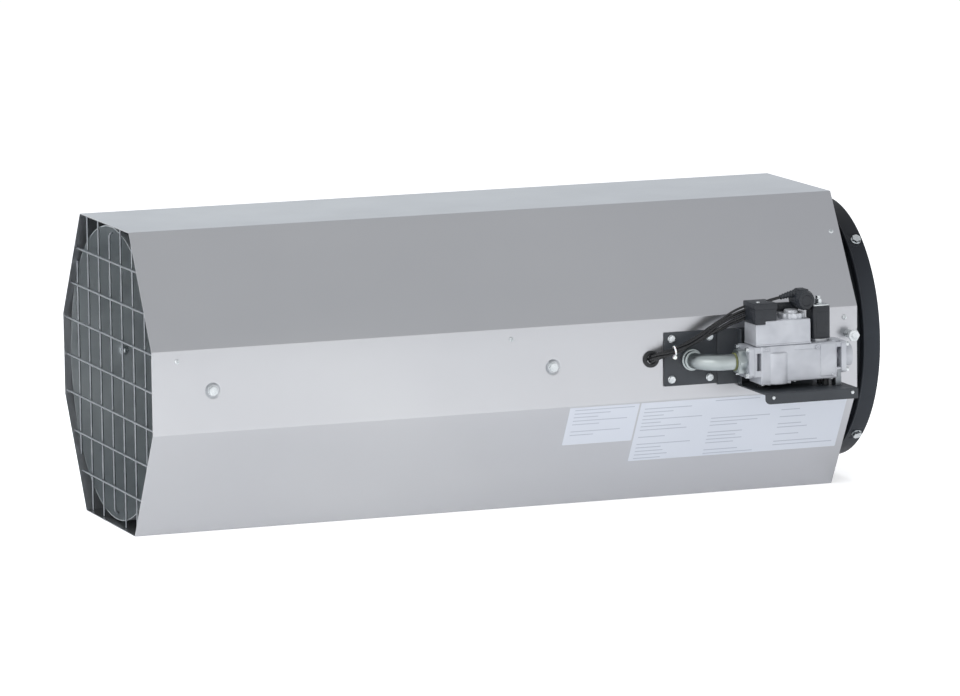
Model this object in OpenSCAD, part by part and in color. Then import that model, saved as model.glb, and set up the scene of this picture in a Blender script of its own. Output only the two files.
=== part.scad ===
// Gas forced air heater: an octagonal sheet casing round a combustion tube, with a fan at one end
// and a wire grille at the other. Millimetres. X runs from the outlet grille to the fan, the gas
// valve stands off the -Y side and +Z is up. The origin is the middle of the casing's flat bottom.

/* [Casing] */
// Length of the octagonal casing
casing_len = 1162; // [1060:2:1300]
// Width of the casing across its upright sides
casing_w = 466; // [460:2:500]
// Height of the casing across its flat top and bottom
casing_h = 470; // [462:2:500]
// Width of the flat top and of the flat bottom
flat_w = 258; // [230:2:280]
// Height of the upright side band
band_h = 129; // [124:1:140]
// Thickness of the casing's sheet
sheet_t = 1; // [0.8:0.1:1.2]
// Height of the upper shell's lower edge above the casing's axis
seam_z = 29; // [27:1:37]
// How far the lower shell reaches up behind the upper one
lap_h = 26; // [24:1:30]
// Diameter of the pressed dish round a tube bolt
dish_d = 24; // [22:1:30]

/* [Combustion tube] */
// Clearance between the tube and the shells
tube_gap = 1.5; // [1.2:0.1:3]
// Thickness of the tube's sheet
tube_t = 1; // [0.8:0.1:1.5]
// How far the tube's mouth lies inside the outlet end
tube_inset = 10.5; // [10:0.5:20]
// How far the tube stops short of the inlet end
tube_back = 30; // [26:1:50]

/* [Outlet grille] */
// Diameter of the grille's wires
wire_d = 3.4; // [2.4:0.2:3.4]
// How far the front wires lie inside the outlet end
grille_inset = 3; // [1:0.5:3]
// Number of grille cells each way, always even
grille_cells = 8; // [6:2:10]
// Bend radius of the hooks on the middle upright wire
hook_r = 6; // [4:1:10]
// How far the middle upright wire stops short of the top and bottom
hook_gap = 16; // [10:1:24]

/* [Fasteners] */
// Diameter of a small casing screw
screw_d = 3.6; // [3:0.2:4.2]
// Diameter of a small casing screw's head
screw_head_d = 8; // [7:0.5:9]
// Height of a small casing screw's head
screw_head_h = 2.4; // [1.6:0.2:3.2]
// Length of a small casing screw under its head
screw_len = 3; // [2.4:0.2:3.4]
// Diameter of a large bolt's shank
bolt_d = 8; // [6:0.5:9]
// Size across the flats of a large bolt's head and nut
bolt_af = 13; // [11:0.5:14]
// Height of a large bolt's head
bolt_head_h = 5.3; // [4:0.1:6.5]
// Height of a large bolt's nut
nut_h = 6.4; // [5:0.2:7]
// Diameter of a large bolt's washer
washer_d = 16; // [15:0.5:18]
// Thickness of a large bolt's washer
washer_t = 1.4; // [1:0.1:2]
// Radial clearance of a hole round its screw or bolt
hole_gap = 0.3; // [0.2:0.05:0.5]

/* [Fan] */
// Outer radius of the inlet ring
ring_r = 209; // [200:1:212]
// Wall of the inlet ring
ring_t = 3; // [2:0.5:4]
// How far the inlet ring stands out of the casing
ring_reach = 51; // [48:1:60]
// Length of the inlet ring's wide band
ring_band = 30; // [28:1:34]
// Step in radius between the ring's neck and its band
ring_step = 13; // [11:1:16]
// Gap between the blade tips and the neck
tip_gap = 5; // [4:0.5:8]
// Number of fan blades
blade_n = 7; // [5:1:9]
// Pitch of the blades
blade_pitch = 36; // [28:1:40]
// Chord of a blade
blade_w = 58; // [50:1:60]
// Thickness of a blade
blade_t = 2.5; // [2:0.5:3]
// Radius of the motor's turning shell
rotor_r = 62; // [56:1:68]
// Length of the motor's turning shell
rotor_len = 60; // [56:1:62]
// Wall of the motor's turning shell
rotor_wall = 5; // [4:0.5:6]
// Diameter of the motor shaft
shaft_d = 12; // [10:0.5:14]
// Outer diameter of a motor bearing
bearing_d = 32; // [28:1:36]
// Width of a motor bearing
bearing_w = 9; // [8:0.5:11]
// Radial running clearance of a shaft or plunger
running_gap = 0.05; // [0.02:0.01:0.09]
// Diameter of the fan guard's wires
guard_wire_d = 3; // [2:0.5:3]
// Number of cells across the fan guard
guard_cells = 9; // [7:1:12]
// Width of a motor arm
arm_w = 26; // [20:1:28]
// Thickness of a motor arm
arm_t = 4; // [3:0.5:5]

/* [Burner] */
// Distance from the inlet end to the burner's gas pipe
burner_from_inlet = 284; // [282:1:300]
// Radius of the burner head
head_r = 38; // [34:1:42]
// Length of the burner head
head_len = 34; // [30:1:40]
// Radius of the flame cup's mouth
cup_r = 95; // [80:1:110]
// Length of the flame cup
cup_len = 115; // [90:1:140]
// Thickness of the flame cup and its disc
cup_t = 1.5; // [1:0.1:2]
// Diameter of the gas nozzle
nozzle_d = 16; // [14:1:20]
// Length of the gas nozzle in front of the head
nozzle_len = 20; // [16:1:26]
// Diameter of an electrode's ceramic
ceramic_d = 9; // [8:0.5:10]
// Diameter of an electrode's rod
electrode_d = 2.6; // [2:0.2:3]

/* [Gas line] */
// Outer diameter of the gas pipe
pipe_d = 25; // [24:0.1:28]
// Wall of the gas pipe
pipe_wall = 2.6; // [2:0.1:3.2]
// Distance of the gas line from the casing's side
gas_off = 55; // [52:1:60]
// How far the gas line lies below the casing's axis
gas_drop = 2; // [0:1:3]
// Diameter of the elbow's collar
collar_d = 34; // [32:1:38]
// Bend radius of the elbow
bend_r = 38; // [36:1:39]
// Length from the burner's pipe to the union nut
run_len = 53; // [50:1:58]
// Width of the pipe's seal ring
seal_w = 3; // [2:0.5:4]
// Size across the flats of the union nut
union_af = 34; // [32:1:36]
// Length of the union nut
union_len = 14; // [12:1:18]

/* [Burner plate] */
// Width of the burner plate
plate_w = 89; // [84:1:89]
// Height of the burner plate and of the bracket beside it
plate_h = 85; // [80:1:90]
// Thickness of the burner plate and the bracket
plate_t = 2; // [1.5:0.1:2.5]
// Spacing of the burner plate's screws
plate_pitch = 64; // [60:1:68]
// Size across the flats of a burner plate screw
plate_screw_af = 10; // [8:1:11]
// Outer diameter of the lead grommet
grommet_d = 27; // [24:1:28]
// Bore of the lead grommet
grommet_bore = 14; // [14:0.5:16]

/* [Gas valve] */
// Width and height of a valve flange
flange_w = 50; // [48:1:52]
// Thickness of a valve flange
flange_t = 8.5; // [7:0.5:10]
// Spacing of the flange screws
flange_pitch = 40; // [38:1:41]
// Length of the valve body between its flanges
valve_len = 147; // [144:1:154]
// Depth of the valve body
valve_depth = 50; // [48:1:54]
// Height of the valve body
valve_h = 58; // [56:1:60]
// How far the body's bottom lies below the gas line
valve_below = 33; // [32:1:34]
// Radius of the filter bulge on the body's front
bulge_r = 20; // [18:1:22]
// Length of the regulator block
reg_len = 92; // [86:1:94]
// Height of the regulator block
reg_h = 39; // [36:1:42]
// Height of the step on the regulator block
reg_step = 5; // [3:1:8]
// Diameter of the regulator's cap
cap_d = 42; // [38:1:44]
// Height of the regulator's cap
cap_h = 8; // [6:0.5:8]
// Width and depth of the solenoid coil
coil_w = 30; // [28:1:32]
// Height of the solenoid coil
coil_h = 51; // [48:1:54]
// Outer diameter of the solenoid's guide tube
core_d = 15; // [14.5:0.5:16]
// Travel of the solenoid plunger
plunger_travel = 3; // [2:0.5:3]
// Diameter of the gas inlet's thread at its crests
inlet_bore = 24.1; // [23.8:0.1:24.4]
// Depth of the gas inlet's thread
inlet_depth = 20; // [18:1:21]

/* [Valve tray] */
// Length of the tray under the valve
tray_len = 156; // [150:1:158]
// Depth of the tray
tray_depth = 112; // [108:1:116]
// Height of the lip along the tray's front
tray_lip = 16.5; // [14:0.5:20]
// Depth of the bracket's fold beside the pipe
fold_depth = 20; // [14:1:22]

/* [Control box] */
// Length of the control box
box_len = 220; // [200:2:240]
// Height of the control box
box_h = 120; // [110:1:124]
// Depth of the control box without its lid
box_depth = 80; // [70:1:90]
// Wall of the control box
box_wall = 3; // [2.5:0.5:4]
// Thickness of the lid
lid_t = 4; // [3:0.5:5]
// Diameter of the reset button
button_d = 16; // [14:1:18]
// Travel of the reset button
button_travel = 2; // [1:0.5:3]
// Bore of the mains cable gland
gland_bore = 12; // [10:0.5:13]

/* [Labels] */
// Length of the small blank label
label_a_len = 116; // [100:1:116]
// Length of the large blank label
label_b_len = 353; // [340:1:356]
// Height of the small blank label
label_a_h = 75; // [60:1:76]
// Height of the large blank label
label_b_h = 118; // [100:1:120]
// Thickness of a label
label_t = 0.3; // [0.2:0.1:0.5]

/* [Hidden] */
$fn = 48;

// One overrun serves every cut
cut = 1;
// Gap between two pieces that rest against each other on a curved or loose seat
seat_gap = 0.3;
// Clearance of a press fit, and of a threaded or glued socket
press_gap = 0.02;
socket_gap = 0.05;

// Casing section: the side, slant and flat faces, measured from the casing's axis
end_x = casing_len / 2;
axis_z = casing_h / 2;
wall_y = casing_w / 2;
slant_run = (casing_w - flat_w) / 2;
slant_rise = (casing_h - band_h) / 2;
slant_len = norm([slant_run, slant_rise]);
slant_ny = slant_rise / slant_len;
slant_nz = slant_run / slant_len;
slant_d = slant_ny * casing_w / 2 + slant_nz * band_h / 2;
slant_tilt = atan2(slant_run, slant_rise);
seam_at = axis_z + seam_z;
lap_top = seam_at + lap_h;

// Combustion tube, as wide as the casing's narrowest way lets it be
casing_r = min(wall_y, slant_d, axis_z);
tube_r = casing_r - 2 * sheet_t - tube_gap;
tube_x0 = -end_x + tube_inset;
tube_x1 = end_x - tube_back;

// Gap between crossing wires
wire_gap = 0.1;

// Bolts that hold the tube, and the studs near the inlet end
outlet_bolt_in = 97;
middle_bolt_in = 512;
outlet_bolt_x = -end_x + outlet_bolt_in;
middle_bolt_x = end_x - middle_bolt_in;
dish_floor_y = tube_r + sheet_t;
dish_floor_r = washer_d / 2 + seat_gap;
bolt_r = bolt_d / 2;
bolt_tip = 6;
nut_seat_y = sqrt(pow(tube_r - tube_t, 2) - bolt_af * bolt_af / 3) - press_gap;
bulkhead_gap = 0.5;
stud_in = 15;
stud_below = 8;
stud_x = end_x - stud_in;
stud_z = seam_at - stud_below;
stud_out = 25;
stud_base_y = wall_y - 2 * sheet_t - bulkhead_gap;
stud_r = 5;
stud_collar_r = 7;
stud_collar_h = 2.5;
stud_ring_step = 5.5;
stud_nut_af = 17;
stud_nut_h = 7;

// Small screws along the lap and on the upper slant
screw_up = 19;
screw_z = seam_at + screw_up;
screw_hole_over = 3;
screw_from_end = 40;
last_screw_from_end = 22;
slant_screw_from_end = 15;
slant_screw_up = 111;
screw_xs = [-end_x + screw_from_end, 0, end_x - last_screw_from_end];

// Bulkhead at the inlet end
bulkhead_from_inlet = 10;
bulkhead_t = 1.5;
bulkhead_lip = 18;
bulkhead_x = end_x - bulkhead_from_inlet;

// Inlet ring. Its neck follows the band, and keeps its room inside the casing's wall
neck_room = 36;
neck_r = min(ring_r - ring_step, casing_r - neck_room);
neck_back = 20;
ring_x1 = end_x + ring_reach;
ring_x0 = ring_x1 - ring_band;
neck_x0 = end_x - neck_back;
ring_lip = 6;
bead_r = 1.5;
ring_bolt_angles = [48, 132, 228, 312];
ring_bolt_in = 18;
ring_bolt_x = ring_x0 + ring_bolt_in;
pocket_w = 26;
pocket_len = 20;
pocket_depth = 1.2;
tab_t = 3;
tab_gap = 0.1;
tab_r = sqrt(pow(ring_r - ring_t, 2) - arm_w * arm_w / 4) - tab_gap;
tab_len = 19;

// Motor and fan, from the guard inwards
arm_gap = 1;
arm_x = ring_x0 + ring_t + arm_gap;
arm_hub_r = 56;
stator_flange_t = 6;
stator_x1 = arm_x;
air_gap = 1;
rotor_gap = 3;
stator_r = rotor_r - rotor_wall - air_gap;
rotor_x1 = stator_x1 - stator_flange_t - rotor_gap;
rotor_x0 = rotor_x1 - rotor_len;
rotor_end_t = 5;
stator_x0 = rotor_x0 + rotor_end_t + rotor_gap;
shaft_r = shaft_d / 2;
bearing_in = 1;
shaft_out = 6;
shaft_room = 3;
shaft_x0 = rotor_x0 - shaft_out;
shaft_x1 = stator_x1 - bearing_in;
blade_hub_t = 4;
blade_tip_r = neck_r - ring_t - tip_gap;
blade_x = rotor_x0 + rotor_len / 2;
blade_camber_share = 0.09;
blade_steps = 8;
hub_in = 6;
hub_x0 = rotor_x0 + hub_in;
hub_x1 = rotor_x1 - hub_in;
guard_r = ring_r - ring_t - seat_gap;
guard_x = ring_x1 - ring_t - seat_gap - guard_wire_d / 2;

// Burner
burner_x = end_x - burner_from_inlet;
gas_z = axis_z - gas_drop;
gas_y = -wall_y - gas_off;
pipe_r = pipe_d / 2;
pipe_bore_r = pipe_r - pipe_wall;
head_x0 = burner_x - head_len / 2;
head_x1 = burner_x + head_len / 2;
disc_x = head_x0 - cup_t;
cup_over = 20;
cup_back_r = head_r + cup_over;
cup_x0 = disc_x - cup_len;
disc_hole_r = 5;
electrode_out = 10;
electrode_r = head_r + electrode_out;
disc_hole_angles = [150 : 30 : 390];
electrode_angles = [70, 110];
ceramic_back = 24;
ceramic_front = 22;
electrode_reach = 34;
nozzle_bore_r = 2.5;
nozzle_af = 24;
nozzle_hex_h = 6;
nozzle_grip = 10;
pipe_grip = 16;

// Burner plate and the bracket beside it
plate_z0 = axis_z - plate_h / 2;
plate_z1 = axis_z + plate_h / 2;
plate_x1 = burner_x + plate_w / 2;
plate_screw_len = 8;
plate_screw_d = 6;
plate_screw_flange_d = 12.5;
plate_screw_head_h = 4;
plate_hole_gap = 0.6;
bracket_gap = 0.5;
bracket_below = 2.5;
bracket_z0 = plate_z0 - bracket_below;
bracket_len = 163;
fold_in = 33;
bracket_x1 = plate_x1 + bracket_len;
fold_x = plate_x1 + fold_in;
grommet_in = 65.5;
grommet_up = 2;
grommet_x = burner_x - grommet_in;
grommet_z = axis_z + grommet_up;
grommet_lip = 3;
grommet_lip_w = 4;
grommet_inner_lip_w = 1;
grommet_round = 1;
grommet_groove_r = grommet_d / 2 - grommet_lip_w;

// Gas line between the casing and the valve
elbow_x1 = burner_x + run_len;
union_x1 = elbow_x1 + union_len;
socket_len = 8;
collar_len = 8;
collar_ring = 2.5;
collar_y0 = -wall_y - plate_t - seat_gap;
collar_y1 = gas_y + bend_r;

// Gas valve
flange_screw_r = 2.5;
flange_screw_head_r = 4.25;
flange_screw_head_h = 5;
flange_screw_grip = 6;
flange_corner_r = 6;
body_x0 = union_x1 + flange_t;
body_x1 = body_x0 + valve_len;
body_z0 = gas_z - valve_below;
body_z1 = body_z0 + valve_h;
out_neck_len = 11.5;
in_neck_len = 7.5;
block_x0 = body_x0 + out_neck_len;
block_x1 = body_x1 - in_neck_len;
neck_in = 1;
neck_slot_in = 1;
neck_slot_depth = 8;
out_slot_h = 27;
in_slot_h = 32;
neck_w = flange_w - 2 * neck_in;
body_y0 = gas_y - valve_depth / 2;
body_y1 = gas_y + valve_depth / 2;
gas_bore_r = 11;
bulge_in = 41;
bulge_out = 6;
bulge_below = 11;
cover_h = 3;
cover_len = 50;
cover_z0 = body_z0 - cover_h;
bulge_x = body_x0 + bulge_in;
inlet_neck_r = 10;
hub_r = 18;
hub_len = 14.5;

// Regulator block and its cap
reg_from_flange = 3;
reg_x0 = body_x0 + reg_from_flange;
reg_x1 = reg_x0 + reg_len;
reg_in = 2;
reg_y1 = body_y1 - reg_in;
reg_z1 = body_z1 + reg_h;
reg_step_len = 16;
cap_in = 69;
cap_x = reg_x0 + cap_in;
cap_dome_d = 22;
cap_dome_h = 4.5;
cap_rib_n = 24;
cap_rib = 1.2;

// Solenoid: guide tube, coil, plunger and seat
coil_in = 29;
coil_x = body_x1 - coil_in;
core_r = core_d / 2;
core_flange_r = 17;
core_flange_t = 4.5;
core_wall = 1.7;
core_closed = 10;
coil_z0 = body_z1 + core_flange_t;
coil_z1 = coil_z0 + coil_h;
core_stud_len = 8;
core_top = coil_z1 + core_stud_len;
coil_gap = 0.3;
coil_corner_r = 5;
coil_plate_in = 1.5;
coil_plate_w = coil_w - 2 * coil_plate_in;
coil_plate_t = 2.4;
coil_nut_af = 10;
coil_nut_h = 13;
core_stud_r = 2.5;
seat_rim = 1;
seat_z = gas_z - gas_bore_r - seat_rim;
seat_hole_r = 6;
chamber_r = 14;
low_bore_r = 5;
low_bore_up = 9;
low_bore_len = 50;
low_bore_z = body_z0 + low_bore_up;
low_bore_x = coil_x - low_bore_len;
disc_r = 10;
disc_h = 5;
stem_r = 3;
armature_r = core_r - core_wall - running_gap;
armature_in = 2;
armature_gap = 1;
armature_z0 = coil_z0 + armature_in;
armature_z1 = coil_z1 - core_closed - plunger_travel - armature_gap;
spring_r = 7;
spring_wire_d = 1.2;
spring_turns = 5;
spring_sides = 6;
spring_steps = 12;
spring_gap = 0.2;

// Electrical connector on the regulator, with its arm and round plug
conn_over = 1;
conn_x0 = reg_x0 - conn_over;
conn_len = 36;
conn_depth = 48;
conn_h = 33;
conn_gap = 0.2;
conn_arm_back = 11.5;
conn_arm_w = 11;
arm_y0 = gas_y + conn_arm_back;
arm_y1 = arm_y0 + conn_arm_w;
conn_arm_h = 13;
conn_arm_rise = 8.5;
conn_z0 = reg_z1 - reg_step;
conn_top = conn_z0 + conn_h;
plug_in = 27.5;
plug_up = 11;
plug_x = coil_x - plug_in;
plug_z = coil_z1 + plug_up;
plug_r = 16;
plug_len = 36;
plug_rim = 3;
stalk_in = 5;
stalk_down = 6;
conn_screw_r = 3.2;
conn_screw_h = 1.8;
conn_screw_in = 10;
conn_screw_back = 14;
conn_screw_x = conn_x0 + conn_screw_in;
conn_screw_y = body_y0 + conn_screw_back;

// Tray and feet
tray_in = 5;
foot_h = 12;
tray_x0 = body_x0 + tray_in;
tray_x1 = tray_x0 + tray_len;
tray_z1 = body_z0 - foot_h;
tray_z0 = tray_z1 - plate_t;
tray_y0 = -wall_y - tray_depth;
lip_z0 = tray_z1 - tray_lip;
lip_corner_r = 8;
rivet_r = 3;
rivet_h = 1.5;
rivet_down = 6.5;
rivet_z = tray_z1 - rivet_down;
rivet_first = 13.5;
rivet_last = 9.5;
rivet_xs = [tray_x0 + rivet_first, tray_x1 - rivet_last];
foot_r = 5;
foot_in = 14;
leg_len = 10;
leg_w = 18;

// Control box on the far side
box_from_inlet = 440;
box_x0 = end_x - box_from_inlet;
box_x1 = box_x0 + box_len;
box_z0 = axis_z - box_h / 2;
box_z1 = axis_z + box_h / 2;
box_y0 = wall_y;
box_y1 = box_y0 + box_depth;
box_corner_r = 8;
lid_screw_in = 8;
lid_screw_r = 2;
lid_screw_head_r = 3.6;
lid_screw_head_h = 1.6;
lid_boss_r = 5.6;
lid_boss_len = 16;
button_in = 40;
button_up = 20;
button_x = box_x1 - button_in;
button_z = axis_z + button_up;
button_out = 5;
button_flange = 3;
button_flange_t = 2;
button_stem = 6;
gland_along = 40;
gland_x = box_x0 + gland_along;
gland_y = box_y0 + box_depth / 2;
gland_wall = 2;
gland_out = 24;
gland_nut_h = 6;
gland_in = 9;
locknut_h = 4;
controller_w = 90;
controller_d = 42;
controller_h = 62;
transformer_w = 56;
transformer_d = 46;
transformer_h = 50;
terminal_w = 60;
terminal_d = 16;
terminal_h = 20;
terminal_rise = 2;
terminal_n = 6;
device_gap = 12;
device_x = 14;

// Labels on the lower slant
label_a_before = 200;
label_b_before = 81;
label_a_x = burner_x - label_a_before;
label_b_x = burner_x - label_b_before;
label_top = 3;
label_glue = 0.02;

// Lead bundle: round points chosen by hand, from the grommet's middle on the wall, as along, out, up.
// The last point is on the connector's face, and the route stretches between its two ends
lead_d = 4.6;
lead_n = 4;
lead_r = 3.5;
lead_sides = 8;
lead_twist = 22;
LEAD = [[0, -3, 0], [0, 3, 0.5], [3, 9, 3.8], [9, 14, 7], [20, 18, 10], [32, 20, 14], [44, 22, 19], [55, 23, 24],
    [69, 25, 31], [78, 27, 36], [86, 28, 41], [98, 30, 48], [109, 32, 54], [120, 34, 60], [132, 36, 65], [143, 38, 69]];
lead_last = len(LEAD) - 1;
lead_under = 19;
lead_stretch = [(conn_x0 - grommet_x) / LEAD[lead_last][0], 1,
    (conn_top - lead_under - grommet_z) / LEAD[lead_last][2]];
lead_side = [1, 0, -1];

// The tie round the bundle
tie_point = 5;
tie_r = lead_r + lead_d / 2 + seat_gap;
tie_t = 1.2;
tie_w = 2.5;
tie_head_w = 4;
tie_tail = 4.5;
tie_bead_r = 3.2;

// A box given by two opposite corners
module block(a, b) { translate(a) cube(b - a); }

// Rods along each axis, from one end to the other
module x_rod(r, x0, x1, y = 0, z = 0) { translate([x0, y, z]) rotate([0, 90, 0]) cylinder(r = r, h = x1 - x0); }
module y_rod(r, y0, y1, x = 0, z = 0) { translate([x, y1, z]) rotate([90, 0, 0]) cylinder(r = r, h = y1 - y0); }
module z_rod(r, z0, z1, x = 0, y = 0) { translate([x, y, z0]) cylinder(r = r, h = z1 - z0); }

// Hexagon standing on Z, sized across its flats
module hexagon(af, h) { cylinder(r = af / sqrt(3), h = h, $fn = 6); }

// A flat rectangle with rounded corners, centred, extruded up from its base
module rounded_slab(w, d, h, r)
{
    union() {
        translate([-w / 2 + r, -d / 2, 0]) cube([w - 2 * r, d, h]);
        translate([-w / 2, -d / 2 + r, 0]) cube([w, d - 2 * r, h]);
        for (sx = [-1, 1], sy = [-1, 1])
            translate([sx * (w / 2 - r), sy * (d / 2 - r), 0]) cylinder(r = r, h = h);
    }
}

// Puts its children, drawn outwards along +Z, on the wall of one side: -1 is the valve's side
module on_side(side, x, y, z) { translate([x, side * y, z]) rotate([-side * 90, 0, 0]) children(); }

// Both sides, at the same place
module on_both_sides(x, y, z) { for (side = [-1, 1]) on_side(side, x, y, z) children(); }

// Puts its children, drawn outwards along +Z, on the ring at an angle from the -Y side upwards
module on_ring(angle, x, r) { translate([x, 0, axis_z]) rotate([-angle, 0, 0]) translate([0, -r, 0]) rotate([90, 0, 0]) children(); }

// The octagon's corners, each face moved in by its own inset
function section(side_in, slant_in, flat_in) =
    let (hw = casing_w / 2 - side_in, hh = casing_h / 2 - flat_in, d = slant_d - slant_in,
        cz = (d - slant_ny * hw) / slant_nz, cy = (d - slant_nz * hh) / slant_ny)
    [[hw, cz], [cy, hh], [-cy, hh], [-hw, cz], [-hw, -cz], [-cy, -hh], [cy, -hh], [hw, -cz]];

// Half of the octagon's width at a height above the axis, and of its height at a distance from it
function half_width(up, inset) = min(wall_y - inset, (slant_d - inset - slant_nz * abs(up)) / slant_ny);
function half_height(y, flat_in, slant_in) =
    min(axis_z - flat_in, (slant_d - slant_in - slant_ny * abs(y)) / slant_nz);

// A length of duct with a given section
module duct(pts, x0, x1) { translate([x0, 0, axis_z]) rotate([90, 0, 90]) linear_extrude(x1 - x0) polygon(pts); }

// A length of duct wall between two sections
module duct_wall(outer, inner, x0, x1)
{
    difference() {
        duct(outer, x0, x1);
        duct(inner, x0 - cut, x1 + cut);
    }
}

// A washer-like disc with its bore, standing on Z
module disc(r, bore_r, h)
{
    difference() {
        cylinder(r = r, h = h);
        translate([0, 0, -cut]) cylinder(r = bore_r, h = h + 2 * cut);
    }
}

// Puts its children on the upper slant, on both sides, with +Z pointing out
module on_upper_slants(x, up)
{
    for (side = [-1, 1])
        translate([x, side * half_width(band_h / 2 + up, 0), axis_z + band_h / 2 + up])
            rotate([-side * (90 - slant_tilt), 0, 0]) children();
}

// Holes for the small casing screws
module small_screw_holes()
{
    hole_len = screw_len + screw_hole_over;
    for (x = screw_xs)
        on_both_sides(x, wall_y + cut - hole_len, screw_z) cylinder(r = screw_d / 2 + hole_gap, h = hole_len);
    on_upper_slants(end_x - slant_screw_from_end, slant_screw_up)
        translate([0, 0, cut - hole_len]) cylinder(r = screw_d / 2 + hole_gap, h = hole_len);
}

// Every hole through the two shells
module shell_holes()
{
    small_screw_holes();
    for (x = [outlet_bolt_x, middle_bolt_x])
        on_both_sides(x, tube_r - cut, axis_z) cylinder(r = dish_d / 2, h = wall_y - tube_r + 2 * cut);
    on_both_sides(stud_x, stud_base_y - cut, stud_z)
        cylinder(r = stud_r + hole_gap, h = wall_y - stud_base_y + 2 * cut);
    on_side(-1, burner_x, tube_r, gas_z) cylinder(r = pipe_r + plate_hole_gap, h = wall_y - tube_r + cut);
    for (sx = [-1, 1], sz = [-1, 1])
        on_side(-1, burner_x + sx * plate_pitch / 2, tube_r, axis_z + sz * plate_pitch / 2)
            cylinder(r = plate_screw_d / 2 + hole_gap, h = wall_y - tube_r + cut);
    on_side(-1, grommet_x, tube_r, grommet_z) cylinder(r = grommet_groove_r, h = wall_y - tube_r + cut);
}

// Pressed dishes through which the bolts clamp the shell to the tube
module bolt_dishes()
{
    for (x = [outlet_bolt_x, middle_bolt_x])
        on_both_sides(x, tube_r, axis_z) difference() {
            rise = wall_y - sheet_t - tube_r;
            cylinder(r1 = dish_floor_r + sheet_t, r2 = dish_d / 2 + 2 * sheet_t, h = rise);
            translate([0, 0, sheet_t]) cylinder(r1 = dish_floor_r, r2 = dish_d / 2, h = rise - sheet_t);
            translate([0, 0, -cut]) cylinder(r = bolt_r + hole_gap, h = rise + 2 * cut);
        }
}

module lower_casing()
{
    color("silver") union() {
        difference() {
            intersection() {
                duct_wall(section(sheet_t, sheet_t, 0), section(2 * sheet_t, 2 * sheet_t, sheet_t), -end_x, end_x);
                block([-end_x - cut, -casing_w, -cut], [end_x + cut, casing_w, lap_top]);
            }
            shell_holes();
        }
        bolt_dishes();
    }
}

module upper_casing()
{
    color("gainsboro") difference() {
        intersection() {
            duct_wall(section(0, 0, 0), section(sheet_t, sheet_t, sheet_t), -end_x, end_x);
            block([-end_x - cut, -casing_w, seam_at], [end_x + cut, casing_w, casing_h + cut]);
        }
        shell_holes();
    }
}

// A small pan head screw standing on Z
module small_screw()
{
    cylinder(r1 = screw_head_d / 2, r2 = 3 * screw_head_d / 8, h = screw_head_h);
    translate([0, 0, -screw_len]) cylinder(r = screw_d / 2, h = screw_len);
}

module casing_screws()
{
    color("lightgray") {
        for (x = screw_xs) on_both_sides(x, wall_y, screw_z) small_screw();
        on_upper_slants(end_x - slant_screw_from_end, slant_screw_up) small_screw();
    }
}

module end_plate()
{
    inset = 2 * sheet_t + bulkhead_gap;
    outer = section(inset, inset, inset);
    inner = section(inset + bulkhead_t, inset + bulkhead_t, inset + bulkhead_t);
    color("dimgray") difference() {
        union() {
            duct(outer, bulkhead_x, bulkhead_x + bulkhead_t);
            duct_wall(outer, inner, bulkhead_x - bulkhead_lip, bulkhead_x + bulkhead_t);
        }
        x_rod(neck_r + seat_gap, bulkhead_x - cut, bulkhead_x + bulkhead_t + cut, 0, axis_z);
        small_screw_holes();
    }
}

// Grille wires: level ones in front, upright ones behind, the middle upright one hooked at both ends
module outlet_grille()
{
    level_x = -end_x + grille_inset + wire_d / 2;
    upright_x = level_x + wire_d + wire_gap;
    mid = grille_cells / 2;
    color("gray") {
        for (i = [1 : grille_cells - 1]) {
            up = (i - mid) * casing_h / grille_cells;
            inset = (axis_z + up - wire_d / 2 > lap_top ? 1 : 2) * sheet_t + seat_gap;
            reach = half_width(abs(up) + wire_d / 2, inset);
            y_rod(wire_d / 2, -reach, reach, level_x, axis_z + up);
        }
        for (i = [1 : grille_cells - 1]) if (i != mid) {
            y = (i - mid) * casing_w / grille_cells;
            z_rod(wire_d / 2, axis_z - half_height(abs(y) + wire_d / 2, sheet_t + seat_gap, 2 * sheet_t + seat_gap),
                axis_z + half_height(abs(y) + wire_d / 2, sheet_t + seat_gap, sheet_t + seat_gap), upright_x, y);
        }
        hook_z = axis_z - hook_gap - hook_r;
        union() {
            z_rod(wire_d / 2, axis_z - hook_z, axis_z + hook_z, upright_x, 0);
            for (end = [-1, 1]) translate([upright_x + hook_r, 0, axis_z + end * hook_z])
                rotate([end * 90, 0, 0]) rotate([0, 0, 90]) rotate_extrude(angle = 90)
                    translate([hook_r, 0]) circle(r = wire_d / 2);
        }
    }
}

module combustion_tube()
{
    color("silver") difference() {
        x_rod(tube_r, tube_x0, tube_x1, 0, axis_z);
        x_rod(tube_r - tube_t, tube_x0 - cut, tube_x1 + cut, 0, axis_z);
        for (x = [outlet_bolt_x, middle_bolt_x])
            on_both_sides(x, tube_r - 2 * tube_t, axis_z) cylinder(r = bolt_r + hole_gap, h = 3 * tube_t);
        on_side(-1, burner_x, tube_r - 2 * tube_t, gas_z) cylinder(r = pipe_r + plate_hole_gap, h = 3 * tube_t);
        for (sx = [-1, 1], sz = [-1, 1])
            on_side(-1, burner_x + sx * plate_pitch / 2, tube_r - 4 * tube_t, axis_z + sz * plate_pitch / 2)
                cylinder(r = plate_screw_d / 2 + hole_gap, h = 6 * tube_t);
    }
}

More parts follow.
